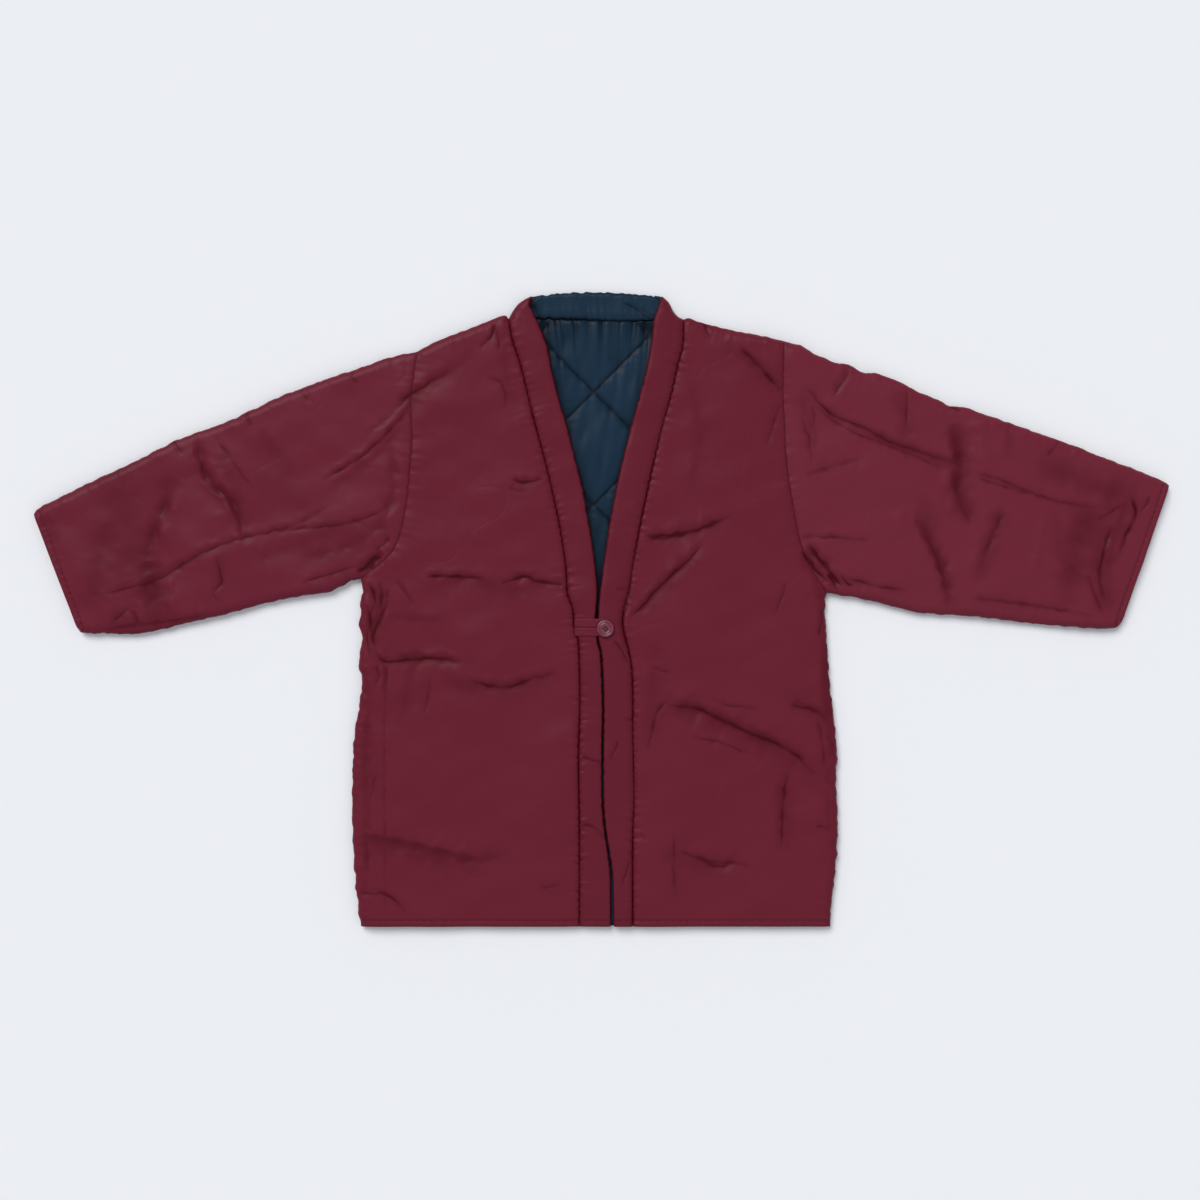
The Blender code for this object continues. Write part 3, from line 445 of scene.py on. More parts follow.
# How uneven each kind of seam and edge is: height and length of its waves, in mm
unevenness = {
    "neckSeam": ((0.5, 9.0), (0.25, 4.5)), "bandSeam": ((0.5, 9.0), (0.25, 4.5)), "armhole": ((0.4, 12.0),),
    "side": ((0.9, 21.0), (0.35, 8.0)), "sleeveTop": ((0.6, 24.0), (0.25, 9.0)), "shoulder": ((0.4, 16.0),),
    "sleeveUnder": ((0.8, 22.0), (0.3, 9.0)), "bandEdge": ((0.35, 14.0), (0.2, 6.0)),
    "bandEdgeTop": ((0.35, 16.0), (0.15, 7.0)), "neckSeamBack": ((0.75, 13.0), (0.4, 6.0)),
    "collarTop": ((0.8, 15.0), (0.35, 7.0)),
}
for number, name in enumerate(sorted(lines)):
    kind = name.replace("Right", "").replace("Left", "")
    if kind in unevenness:
        count = round(lengthsAlong(lines[name])[-1] / 1.6)
        line = atShares(lines[name], np.linspace(0, 1, count + 1))
        along = lengthsAlong(line)
        move = sum(tall * waves(along, size, 200 + number) for tall, size in unevenness[kind])
        move *= np.clip(along / 12, 0, 1) * np.clip((along[-1] - along) / 12, 0, 1)
        lines[name] = line + leftNormals(line) * move[:, None]


def segmentsOf(*parts):
    return np.vstack([part[:-1] for part in parts]), np.vstack([part[1:] for part in parts])


def turned(name):
    return lines[name][::-1]


# Edges where upper and under cloth are one, in the order that keeps the cloth on the left
closedEdges = segmentsOf(
    lines["sideRight"], turned("sideLeft"), turned("sleeveUnderRight"), lines["sleeveUnderLeft"],
    lines["sleeveTopRight"], turned("sleeveTopLeft"), lines["shoulderRight"], turned("shoulderLeft"),
    turned("bandFoldRight"), lines["bandFoldLeft"],
)
bandSeams = segmentsOf(*(lines[name + side] for side in ("Right", "Left") for name in ("neckSeam", "bandSeam")))
armholeSeams = segmentsOf(lines["armholeRight"], lines["armholeLeft"])
openEdges = segmentsOf(
    np.array([lines["sideRight"][-1], lines["sideLeft"][-1]]),
    np.array([lines["sleeveTopRight"][-1], lines["sleeveUnderRight"][-1]]),
    np.array([lines["sleeveTopLeft"][-1], lines["sleeveUnderLeft"][-1]]),
)


def nearest(points, segments, reach=45.0):
    # distance to the nearest segment within reach, the way from it, the place along, and the side: 1 is left
    flat = points.reshape(-1, 2)
    allStart, allEnd = segments
    allRun = allEnd - allStart
    allSize = np.linalg.norm(allRun, axis=1)
    allBegin = np.concatenate([[0], np.cumsum(allSize)])[:-1]
    lowest, highest = np.minimum(allStart, allEnd), np.maximum(allStart, allEnd)
    distance, along = np.full(len(flat), 1e3), np.zeros(len(flat))
    away, side = np.tile([0.0, 1.0], (len(flat), 1)), np.ones(len(flat))
    for first in range(0, len(flat), 1500):
        part = slice(first, first + 1500)
        low, high = flat[part].min(0) - reach, flat[part].max(0) + reach
        keep = (lowest < high).all(1) & (highest > low).all(1)
        if not keep.any():
            continue
        start, run, size, begin = allStart[keep], allRun[keep], allSize[keep], allBegin[keep]
        dx = flat[part, 0][:, None] - start[:, 0]
        dy = flat[part, 1][:, None] - start[:, 1]
        share = np.clip((dx * run[:, 0] + dy * run[:, 1]) / size**2, 0, 1)
        gapX, gapY = dx - share * run[:, 0], dy - share * run[:, 1]
        gap = gapX**2 + gapY**2
        pick = gap.argmin(axis=1)
        row = np.arange(len(pick))
        found = np.sqrt(gap[row, pick])
        distance[part] = found
        along[part] = begin[pick] + share[row, pick] * size[pick]
        side[part] = np.sign(run[pick, 0] * dy[row, pick] - run[pick, 1] * dx[row, pick] + 1e-9)
        left = np.stack([-run[pick, 1], run[pick, 0]], axis=1) / size[pick][:, None]
        direct = np.stack([gapX[row, pick], gapY[row, pick]], axis=1) / np.maximum(found, 1e-9)[:, None]
        away[part] = np.where(found[:, None] < 0.7, left, direct)
    shape = points.shape[:-1]
    return distance.reshape(shape), away.reshape(points.shape), along.reshape(shape), side.reshape(shape)


# Creases of the upper cloth, listed one by one: width, depth, lean, then the path.
# Lean is how much higher the cloth stands left of the path than right of it.
creases = {
    "sleeveRight": (
        (14.0, 2.4, 1.2, ((-545, 170), (-552, 136), (-565, 102), (-578, 63))),
        (17.0, 3.2, -1.0, ((-580, 60), (-576, 30), (-572, -3), (-568, -26))),
        (20.0, 1.6, 0.6, ((-625, 110), (-632, 70), (-640, 30), (-648, -10))),
        (22.0, -1.8, 0.0, ((-482, 190), (-476, 150), (-468, 110))),
        (8.0, -1.2, 0.0, ((-550, 43), (-545, 19), (-540, -8))),
        (12.0, 1.4, 0.8, ((-514, 189), (-496, 157), (-473, 134), (-463, 104))),
        (14.0, -1.3, 0.0, ((-499, 189), (-481, 159), (-455, 134))),
        (12.0, 1.3, 0.5, ((-708, 120), (-698, 95), (-691, 72))),
        (9.0, 1.2, 0.3, ((-627, -22), (-614, -8), (-602, 4))),
        (7.0, 1.2, -0.3, ((-602, 4), (-595, -10), (-589, -21))),
        (7.0, 1.0, 0.3, ((-557, 12), (-551, -1), (-546, -13))),
        (16.0, 1.0, 0.6, ((-444, 63), (-386, 83), (-328, 108))),
        (10.0, 1.2, 0.6, ((-348, 153), (-309, 179), (-268, 217), (-232, 278))),
        (12.0, 1.2, 0.0, ((-435, 230), (-412, 198), (-386, 159))),
        (9.0, 1.2, 0.0, ((-322, 115), (-290, 102), (-258, 108))),
        (3.6, 1.4, 0.5, ((-650, 16), (-598, 28), (-561, 40), (-527, 61), (-496, 77), (-467, 88), (-418, 100), (-378, 113), (-336, 139))),
        (9.0, 1.2, 0.0, ((-578, 40), (-555, 47), (-527, 62), (-490, 82))),
        (3.0, 1.3, 0.3, ((-418, 99), (-372, 104), (-327, 109), (-281, 125), (-260, 147))),
        (3.0, 1.7, 0.8, ((-356, 164), (-326, 182), (-296, 202), (-262, 236), (-241, 263))),
        (2.6, 1.2, -0.4, ((-298, 220), (-280, 236), (-262, 253), (-244, 272), (-232, 285))),
        (8.0, 2.2, -1.2, ((-520, 222), (-502, 167), (-473, 139), (-460, 109), (-455, 80))),
        (3.0, 1.3, -0.5, ((-515, 213), (-502, 167), (-473, 139), (-460, 109), (-456, 89))),
        (3.0, 1.6, 0.0, ((-546, 218), (-541, 207), (-532, 196))),
        (7.0, 1.6, 0.6, ((-548, 145), (-568, 102), (-578, 60))),
        (2.8, 1.5, 0.0, ((-490, 67), (-483, 36), (-493, 21), (-487, 8))),
        (4.0, 1.3, 0.2, ((-382, 34), (-348, 44), (-307, 57))),
        (2.4, 1.4, 0.0, ((-620, -15), (-601, 1))),
        (2.4, 1.4, 0.0, ((-597, -1), (-588, -19))),
        (5.0, 1.2, 0.3, ((-637, -27), (-604, -21), (-561, -16), (-522, -10), (-496, -3))),
        (5.0, 4.6, 0.8, ((-312, 48), (-302, 52), (-292, 62), (-280, 76))),
        (4.0, 3.4, 0.0, ((-296, 50), (-288, 62), (-277, 72))),
        (4.0, 1.6, 0.4, ((-268, 92), (-278, 82), (-290, 76))),
        (14.0, 1.8, 0.0, ((-382, 62), (-340, 74), (-300, 92), (-276, 116))),
        (9.0, 1.6, 0.6, ((-268, 208), (-262, 170), (-268, 130), (-284, 96))),
        (3.0, 1.2, 0.0, ((-493, 222), (-470, 190), (-442, 151))),
        (3.0, 1.3, 0.0, ((-452, 253), (-449, 240), (-444, 231))),
        (3.0, 1.3, 0.0, ((-382, 284), (-378, 272), (-371, 262))),
        (3.0, 1.1, 0.0, ((-319, 305), (-315, 294), (-307, 286))),
    ),
    "sleeveLeft": (
        (15.0, 2.8, -1.4, ((444, 236), (454, 188), (450, 150), (462, 110))),
        (20.0, -2.2, 0.0, ((474, 240), (484, 198), (486, 150))),
        (22.0, 3.0, -0.8, ((614, 140), (602, 83), (594, 38), (590, 0))),
        (18.0, 1.8, 0.6, ((552, 190), (600, 172), (650, 150), (688, 150))),
        (20.0, -1.8, 0.0, ((372, 130), (398, 84), (416, 30))),
        (12.0, -1.6, 0.0, ((561, 115), (556, 76), (548, 38))),
        (8.0, 1.6, -0.6, ((671, 150), (661, 115), (648, 74), (643, 31))),
        (8.0, 1.5, -0.6, ((400, 115), (418, 83), (435, 44), (442, 4))),
        (12.0, 1.4, -0.5, ((510, 134), (500, 102), (484, 63), (474, 25))),
        (10.0, 1.5, 0.6, ((333, 230), (382, 209), (433, 189), (472, 179))),
        (7.0, 1.0, 0.0, ((316, 317), (307, 294), (296, 277))),
        (14.0, 1.2, 0.0, ((254, 275), (269, 236), (269, 191))),
        (12.0, 1.1, -0.4, ((369, 275), (385, 243), (382, 204))),
        (10.0, 1.0, -0.4, ((510, 249), (518, 217), (513, 185))),
        (4.2, 1.6, 0.8, ((258, 286), (287, 253), (310, 240), (336, 230), (365, 214), (399, 203), (424, 194), (444, 189), (464, 181))),
        (3.4, 1.1, -0.3, ((264, 266), (294, 241), (326, 223), (359, 211), (392, 198), (431, 181), (444, 177))),
        (4.0, 1.2, 0.7, ((473, 175), (509, 164), (538, 152), (580, 138), (620, 131), (639, 126))),
        (2.4, 1.1, 0.0, ((477, 167), (523, 153), (551, 145))),
        (2.6, 1.2, 0.3, ((254, 244), (264, 217), (268, 185))),
        (2.4, 1.0, 0.0, ((269, 259), (271, 240), (268, 232))),
        (5.0, 0.9, 0.0, ((258, 171), (304, 185), (336, 194))),
        (3.0, 1.4, 0.3, ((253, 93), (294, 92), (342, 88))),
        (8.0, 2.6, -1.2, ((444, 236), (454, 188), (450, 162), (458, 135), (472, 104))),
        (3.0, 0.7, -0.3, ((450, 168), (456, 138), (470, 108))),
        (9.0, 2.3, -1.2, ((398, 126), (418, 84), (435, 44), (441, -2))),
        (3.0, 0.8, -0.4, ((412, 96), (428, 62), (438, 24))),
        (6.0, 1.2, 0.3, ((509, 122), (496, 93), (486, 67))),
        (5.0, 1.9, 0.5, ((650, 109), (639, 76), (633, 44), (639, 11))),
        (4.0, 1.2, 0.0, ((618, 44), (630, 11), (639, -8))),
        (5.0, 1.9, -0.5, ((673, 145), (679, 122), (666, 93), (656, 67))),
        (3.0, 1.2, 0.0, ((698, 145), (691, 132), (683, 122))),
        (3.0, 1.2, 0.0, ((630, 113), (656, 129), (669, 135))),
        (3.0, 1.6, 0.4, ((317, 305), (308, 290), (300, 280), (292, 272))),
        (3.0, 1.3, 0.0, ((388, 280), (388, 250), (386, 230))),
        (3.0, 1.4, 0.0, ((581, 216), (576, 206), (566, 195))),
        (3.0, 1.4, 0.0, ((441, 261), (448, 256), (458, 252))),
        (5.4, 4.8, 1.2, ((262, 84), (276, 66), (288, 52), (296, 40), (309, 26))),
        (4.4, 4.0, 0.8, ((254, 76), (264, 62), (276, 46), (288, 34))),
        (3.6, 3.6, 0.0, ((288, 46), (296, 34), (300, 24))),
        (6.0, -2.0, 0.0, ((268, 66), (280, 52), (292, 38))),
        (3.4, 2.4, 0.0, ((304, 44), (312, 34), (322, 30))),
        (4.0, 1.4, 0.4, ((312, 40), (350, 30), (392, 24))),
        (5.0, 1.1, 0.3, ((470, 15), (538, 7), (604, -4), (630, -11))),
    ),
    "frontRight": (
        (12.0, 1.3, 0.5, ((-222, 31), (-168, 38), (-117, 25), (-53, 33))),
        (10.0, 1.6, 0.6, ((-278, -52), (-245, -61), (-194, -65), (-156, -67))),
        (14.0, 1.3, 0.6, ((-207, -88), (-156, -100), (-104, -95), (-53, -80))),
        (16.0, 1.8, 0.8, ((-307, -290), (-245, -303), (-175, -318), (-115, -303))),
        (9.0, 1.5, 0.0, ((-276, 25), (-284, -13), (-289, -45))),
        (9.0, -1.2, 0.0, ((-292, 12), (-295, -39), (-298, -103))),
        (7.0, 1.3, 0.4, ((-300, -60), (-296, -130), (-300, -200), (-297, -270), (-301, -380))),
        (8.0, 1.0, 0.4, ((-272, -8), (-240, -12), (-195, -12))),
        (6.0, -1.0, 0.0, ((-286, -150), (-288, -230), (-286, -320))),
        (1.8, 0.7, 0.0, ((-276, -39), (-276, -141), (-276, -244), (-275, -321), (-275, -392))),
        (14.0, 1.1, 0.5, ((-260, 255), (-232, 278), (-191, 304), (-156, 330))),
        (12.0, 1.0, -0.4, ((-130, 358), (-121, 304), (-113, 243))),
        (10.0, 0.9, 0.3, ((-296, -141), (-294, -193), (-299, -244))),
        (12.0, 1.0, 0.0, ((-235, -45), (-243, -103), (-253, -154))),
        (3.6, 2.2, 0.6, ((-114, 167), (-101, 162), (-88, 163), (-74, 168))),
        (2.4, 1.0, 0.0, ((-118, 156), (-104, 150), (-90, 151))),
        (3.6, 2.4, 0.9, ((-286, -53), (-276, -66), (-245, -64), (-213, -62), (-180, -65))),
        (3.4, 2.4, 0.5, ((-224, 42), (-198, 42.6), (-172, 41), (-146, 40))),
        (4.0, 2.8, 0.8, ((-128, 33), (-99, 42), (-83, 36), (-58, 33), (-45, 29))),
        (4.0, 1.9, 0.7, ((-170, -89), (-136, -98), (-111, -97), (-93, -89), (-56, -80))),
        (7.0, 1.8, 0.8, ((-313, -287), (-269, -294), (-217, -305), (-167, -317), (-141, -317), (-120, -306))),
        (3.4, 1.6, 0.4, ((-309, -360), (-290, -361), (-276, -362), (-254, -377), (-249, -390))),
        (3.2, 2.4, 0.6, ((-276, 2), (-285, -20), (-290, -36), (-285, -54))),
        (3.4, 2.2, 0.6, ((-296, 34), (-288, 12), (-295, -12), (-290, -38))),
        (3.0, 1.8, -0.4, ((-283, 36), (-279, 18), (-282, 0))),
        (2.8, 1.6, 0.4, ((-300, 6), (-294, -14), (-298, -34), (-294, -66))),
        (2.8, 1.4, 0.4, ((-286, -70), (-284, -86), (-290, -104))),
        (2.6, 1.2, 0.0, ((-262, 39), (-248, 20), (-239, 4))),
        (4.0, 1.0, 0.0, ((-217, -89), (-226, -135))),
        (2.6, 1.3, 0.0, ((-273, -70), (-273.5, -90), (-273, -111))),
        (2.6, 1.0, 0.0, ((-287, -209), (-295, -246))),
        (2.6, 1.1, 0.0, ((-299, -294), (-298, -337))),
        (3.0, 0.9, 0.0, ((-80, -355), (-52, -349))),
        (2.6, 1.6, 0.5, ((-58, 33), (-47, 29), (-40, 12), (-36, 1))),
        (3.0, 1.8, 0.5, ((-156, 333), (-141, 346), (-136, 360), (-129, 372))),
        (2.4, 1.2, 0.0, ((-134, 355), (-131, 342), (-129, 328))),
        (4.0, 1.1, 0.4, ((-145, 296), (-125, 284), (-121, 252))),
        (5.0, 1.6, 0.6, ((-258, 264), (-226, 284), (-193, 304))),
        (3.0, 1.4, 0.0, ((-271, 27), (-274, 8), (-284, -25))),
    ),
    "frontLeft": (
        (12.0, 1.5, 0.6, ((49, -3), (68, 22), (100, 56), (132, 89))),
        (18.0, 2.0, 0.9, ((75, -116), (145, -136), (216, -170), (286, -212))),
        (12.0, 1.4, 0.5, ((241, -116), (269, -126), (295, -144))),
        (12.0, 1.4, -0.5, ((231, -203), (230, -244), (234, -308))),
        (14.0, 1.2, 0.4, ((75, -308), (132, -323), (184, -316))),
        (12.0, 1.2, 0.4, ((152, 339), (196, 313), (235, 273))),
        (10.0, 1.1, -0.4, ((287, -39), (285, -103), (287, -167))),
        (9.0, 1.4, 0.0, ((262, 89), (275, 44), (282, -1))),
        (12.0, 1.0, -0.3, ((68, -39), (65, -103), (60, -167))),
        (2.0, 1.2, 0.3, ((113, -161), (152, -170), (193, -186))),
        (12.0, 1.0, -0.3, ((113, 294), (126, 217), (113, 140))),
        (4.0, 1.2, 0.3, ((96, -306), (112, -312), (128, -317), (142, -322), (165, -322), (196, -327))),
        (7.0, 1.2, 0.4, ((289, -20), (287, -90), (292, -160), (290, -240), (294, -330))),
        (3.0, 2.9, 1.2, ((36, -10), (54, 6), (63, 17), (84, 39), (111, 63), (128, 85))),
        (5.4, 2.4, 0.9, ((54, 93), (82, 94), (110, 98), (137, 107), (166, 121))),
        (3.0, 1.6, 0.5, ((60, 90), (84, 91), (112, 97))),
        (4.4, 2.3, 1.0, ((84, -122), (121, -126), (152, -140), (189, -157), (226, -172), (248, -185), (260, -200), (276, -211))),
        (3.4, 1.5, 0.5, ((85, -115), (71, -129), (66, -148), (58, -181))),
        (2.6, 1.1, 0.0, ((139, -113), (164, -122), (202, -127))),
        (3.6, 1.7, 0.5, ((240, -120), (255, -124), (272, -129), (291, -143))),
        (4.0, 1.6, 0.5, ((237, -207), (232, -235), (230, -263), (228, -308))),
        (2.8, 1.2, 0.0, ((272, -275), (294, -278))),
        (3.4, 1.5, 0.4, ((121, -313), (145, -327), (170, -323))),
        (3.0, 1.0, 0.0, ((93, -287), (92, -330), (95, -371))),
        (2.6, 1.2, 0.0, ((65, -74), (77, -77), (89, -81))),
        (2.4, 1.1, 0.0, ((49, -284), (57, -294))),
        (2.8, 1.3, 0.0, ((276, -141), (281, -172), (284, -203))),
        (2.4, 1.0, 0.0, ((291, -159), (296, -188))),
        (3.0, 1.2, 0.0, ((235, 35), (228, 14), (220, -8))),
        (3.4, 1.5, 0.4, ((127, 371), (134, 356), (140, 340))),
        (4.6, 1.8, 0.6, ((176, 333), (205, 304), (232, 275))),
        (4.0, 1.1, 0.3, ((226, 262), (218, 233), (209, 205))),
        (2.6, 1.3, 0.0, ((282, 4), (279, -16), (276, -39))),
    ),
    "bands": (
        (2.4, 1.4, 0.4, ((22, -166), (17, -180), (12, -194))),
        (2.6, 1.5, 0.4, ((40, -303), (33, -330), (25, -353))),
        (2.6, 1.6, 0.6, ((16, -39), (26, -52), (36, -70))),
        (2.2, 1.1, 0.0, ((19, 25), (27, 27), (36, 26))),
        (2.4, 1.4, 0.4, ((-27, -186), (-14, -191), (-3, -194), (3, -203))),
        (2.4, 1.4, 0.4, ((-29, -275), (-13, -275), (6, -294))),
        (2.4, 1.6, 0.4, ((39, 50), (33, 12), (27.5, -13), (27, -26), (36, -58))),
    ),
}

# Soft dark fields where the satin turns from the light: reach, darkness, then the path
satinFields = {
    "sleeveRight": (
        (26.0, 0.26, ((-623, 178), (-610, 114), (-591, 50))),
        (12.0, 0.34, ((-577, 66), (-571, 18))),
        (11.0, 0.26, ((-480, 188), (-468, 152), (-457, 122))),
        (8.0, 0.22, ((-483, 69), (-486, 31))),
        (16.0, 0.14, ((-430, 166), (-380, 132), (-330, 96))),
    ),
    "sleeveLeft": (
        (13.0, 0.32, ((622, 117), (628, 80), (640, 14))),
        (16.0, 0.24, ((655, 157), (644, 100))),
        (10.0, 0.18, ((576, 117), (580, 78))),
        (9.0, 0.20, ((452, 229), (461, 170), (468, 117))),
        (10.0, 0.20, ((409, 137), (425, 78), (442, 19))),
        (10.0, 0.18, ((504, 117), (484, 52))),
    ),
}

relief = {
    "broad": 1.7, "broadSize": 130.0, "middle": 0.62, "middleSize": 50.0, "small": 0.07, "smallSize": 15.0,
    "creaseDepth": 0.72, "creaseWidth": 0.66, "puff": 0.2, "jitter": 0.8, "jitterSize": 17.0, "soft": 0.38, "deepest": 4.2,
    "faint": 0.34, "faintSize": 95.0, "faintWidth": 0.035,
    "weltWidth": 8.4, "weltGroove": 1.0, "weltGrooveWidth": 1.2, "edgeDrop": 3.4, "edgeDropWidth": 3.6,
    "edgePucker": 0.8, "edgePuckerSize": 15.0, "edgePuckerReach": 14.0,
}
bandSeamLook = {
    "dip": 1.3, "dipWidth": 4.5, "cut": 2.0, "cutWidth": 1.1, "pucker": 1.3, "puckerSize": 10.0, "puckerReach": 6.5,
    "dark": 0.95, "darkWidth": 1.1,
}
armholeLook = {
    "dip": 1.1, "dipWidth": 6.0, "cut": 0.8, "cutWidth": 1.2, "pucker": 0.7, "puckerSize": 13.0, "puckerReach": 12.0,
    "dark": 0.42, "darkWidth": 1.0,
}


# the height of the creases, and painted shade along them
def creaseRelief(points, rows):
    height = np.zeros(points.shape[:-1])
    fold = np.zeros(points.shape[:-1])
    shake = [
        relief["jitter"] * softWaves(points, relief["jitterSize"], seed)
        + 0.2 * relief["jitter"] * softWaves(points, 0.3 * relief["jitterSize"], seed + 1)
        for seed in (91, 97)
    ]
    moved = points + np.stack(shake, axis=-1)
    for number, (width, depth, lean, path) in enumerate(rows):
        width, depth = width * relief["creaseWidth"], depth * relief["creaseDepth"]
        line = smoothLine(path, steps=5)
        margin = (4.0 if width > 4.5 else 8.0) * width
        low, high = line.min(0) - margin, line.max(0) + margin
        inside = ((moved > low) & (moved < high)).all(-1)
        if not inside.any():
            continue
        near, _, along, side = nearest(moved[inside], segmentsOf(line))
        share = along / lengthsAlong(line)[-1]
        taper = np.clip(share / 0.2, 0, 1) * np.clip((1 - share) / 0.4, 0, 1)
        strength = np.sin(0.5 * math.pi * taper) ** 0.9 * (0.9 + 0.35 * waves(along, 34.0, number + 5))
        broader = width * (1.0 + 0.3 * waves(along, 26.0, number + 61))
        beyond = np.exp(-3 * np.clip(near / margin, 0, 1) ** 2)
        if width > 4.5:
            valley = -depth * np.exp(-(near / broader) ** 2)
        else:
            valley = -depth * (0.62 * np.exp(-near / broader) + 0.38 * np.exp(-(near / (2.4 * broader)) ** 2))
        flank = relief["puff"] * depth * np.exp(-((near - 4.2 * broader) / (2.2 * broader)) ** 2) * (width < 4.5)
        reach = (1.3 if width > 4.5 else 3.0) * broader
        step = lean * side * (near / reach) * np.exp(0.5 - 0.5 * (near / reach) ** 2)
        height[inside] += (valley + flank + step) * strength * beyond
        # painted shade along each crease, and on one side of the broad ones
        dark = np.exp(-(near / (0.68 * broader)) ** 2) + 0.24 * np.exp(-(near / (2.6 * broader)) ** 2)
        if width > 4.5:
            shade = relief["soft"] * np.exp(-((side * near * np.sign(lean or 1) + 0.3 * broader) / (1.15 * broader)) ** 2)
        else:
            shade = 0.95 * dark
        shade = shade * np.clip(depth / 1.5, 0, 1.2) * np.clip(strength, 0, 1.1)
        fold[inside] = fold[inside] + shade * (1 - fold[inside])
    return height, fold


def darkenFields(points, fold, fields):
    for reach, darkness, path in fields:
        near, _, along, _ = nearest(points, segmentsOf(smoothLine(path, steps=4)))
        field = darkness * np.exp(-((near / reach) ** 2)) * (0.85 + 0.3 * waves(along, 40.0, 7))
        fold = fold + np.clip(field, 0, 1) * (1 - fold)
    return fold


def seamRelief(points, segments, look, seed):
    near, _, along, side = nearest(points, segments)
    uneven = 0.7 + 0.5 * waves(along, 55.0, seed)
    pucker = waves(along + 2.5 * side, look["puckerSize"], seed + 1) * uneven * look["pucker"]
    height = pucker * np.exp(-near / look["puckerReach"]) * (1 - np.exp(-near / 1.5))
    height -= look["dip"] * np.exp(-((near / look["dipWidth"]) ** 1.3))
    height -= look["cut"] * np.exp(-near / look["cutWidth"])
    # painted shade along the seam line and in the notches between its puckers
    dark = look["dark"] * (0.85 + 0.3 * waves(along, 14.0, seed + 2))
    wide = look["darkWidth"] * (1.0 + 0.45 * waves(along, 6.0, seed + 3))
    fold = dark * np.exp(-(near / wide) ** 2) + 0.22 * look["dark"] * np.exp(-(near / 4.5) ** 2)
    notch = np.clip(waves(along + 0.25 * near + 2.5 * side, look["puckerSize"], seed + 1) * -1.0 - 0.35, 0, 1)
    reach = 3.2 * (1.0 + 0.5 * waves(along, 23.0, seed + 4))
    fold += look["dark"] * 0.8 * notch * np.exp(-near / reach)
    return height, np.clip(fold, 0, 1)


def faintCreases(points):
    # thin random wrinkles along the level lines of a soft noise, here and there
    level = softWaves(points * (1.0, 1.35), relief["faintSize"], 101)
    where = np.clip(softWaves(points, 150.0, 103) * 1.6, 0, 1)
    return -relief["faint"] * np.exp(-np.abs(level / relief["faintWidth"])) * where


def upperRelief(points, rows):
    height, fold = creaseRelief(points, rows)
    for size, tall, seed in (("broadSize", "broad", 3), ("middleSize", "middle", 11), ("smallSize", "small", 23)):
        height += relief[tall] * softWaves(points, relief[size], seed)
    height += faintCreases(points)
    for segments, look, seed in ((bandSeams, bandSeamLook, 31), (armholeSeams, armholeLook, 131)):
        seamHeight, seamShade = seamRelief(points, segments, look, seed)
        height += seamHeight
        fold = np.maximum(fold, seamShade)
    height = np.where(height < 0, -relief["deepest"] * np.tanh(-height / relief["deepest"]), height)
    opening, _, openAlong, _ = nearest(points, openEdges)
    height -= relief["weltGroove"] * np.exp(-(((opening - relief["weltWidth"]) / relief["weltGrooveWidth"]) ** 2))
    height -= 0.5 * np.exp(-(opening / (relief["weltWidth"] * 1.3)) ** 2)
    nearHem = np.exp(-((opening - relief["weltWidth"]) / 5.0) ** 2)
    height += 0.22 * waves(openAlong, 9.0, 41) * nearHem
    inside = np.clip(1 - opening / relief["edgeDropWidth"], 0, 1)
    height -= relief["edgeDrop"] * (1 - np.sqrt(1 - inside**2))
    # painted shade along the topstitched groove above the hem and cuffs
    stitched = 0.5 + 0.25 * waves(openAlong, 7.0, 45)
    fold = np.maximum(fold, stitched * np.exp(-(((opening - relief["weltWidth"]) / 1.0) ** 2)))
    return height, fold


cloth = {
    "edgeRoll": 12.0, "middle": 7.2, "top": 15.0, "gap": 0.3, "lowest": 0.2,
    "backThick": 2.8, "frontThick": 6.0, "facingThick": 3.0,
}


def layer(points, depth, upper, split=True, crown=0.0, rows=(), detail=True):
    """"""
    distance, inward, along, _ = nearest(points, closedEdges)
    lean = np.clip(1 - distance / cloth["edgeRoll"], 0, 1)
    rise = np.sqrt(1 - lean**2)
    plan = points + inward * (depth * lean)[..., None]
    halfGap = cloth["gap"] / 2 if split else 0.0
    fold = np.zeros(rise.shape)
    if upper:
        height = np.zeros(rise.shape)
        if detail:
            height, fold = upperRelief(points, rows)
            pinch = relief["edgePucker"] * waves(along, relief["edgePuckerSize"], 53) * (0.5 + 0.5 * waves(along, 70.0, 57))
            height += pinch * np.exp(-(distance / relief["edgePuckerReach"]) ** 2)
        level = cloth["middle"] + halfGap
        tall = level + (cloth["top"] - cloth["middle"] - depth + height + crown) * rise
        tall = np.maximum(tall, level + cloth["lowest"] * rise)
    else:
        level = cloth["middle"] - halfGap
        tall = level - (level - depth) * rise
    return np.concatenate([plan, tall[..., None]], axis=-1), fold


def patch(left, right, top, bottom):
    across, down = lengthsAlong(top), lengthsAlong(left)
    u, v = (across / across[-1])[None, :, None], (down / down[-1])[:, None, None]
    sides = left[:, None] * (1 - u) + right[:, None] * u
    ends = top[None] * (1 - v) + bottom[None] * v
    corners = left[0] * (1 - u) * (1 - v) + right[0] * u * (1 - v) + left[-1] * (1 - u) * v + right[-1] * u * v
    return sides + ends - corners


rollSteps = (0.12, 0.45, 1.0, 1.8, 2.8, 4.0, 5.5)  # mm from an edge, where the cloth turns fastest


def densified(length, spacing, fineStart=True, fineEnd=True):
    # shares along an edge of this length, closer together at the ends
    start = rollSteps if fineStart else ()
    end = rollSteps if fineEnd else ()
    low, high = (start[-1] if start else 0.0), length - (end[-1] if end else 0.0)
    count = max(2, round((high - low) / spacing))
    middle = np.linspace(low, high, count + 1)
    places = np.concatenate([[0.0] if start else [], start[:-1], middle, [length - s for s in end[::-1][1:]], [length] if end else []])
    return places / length


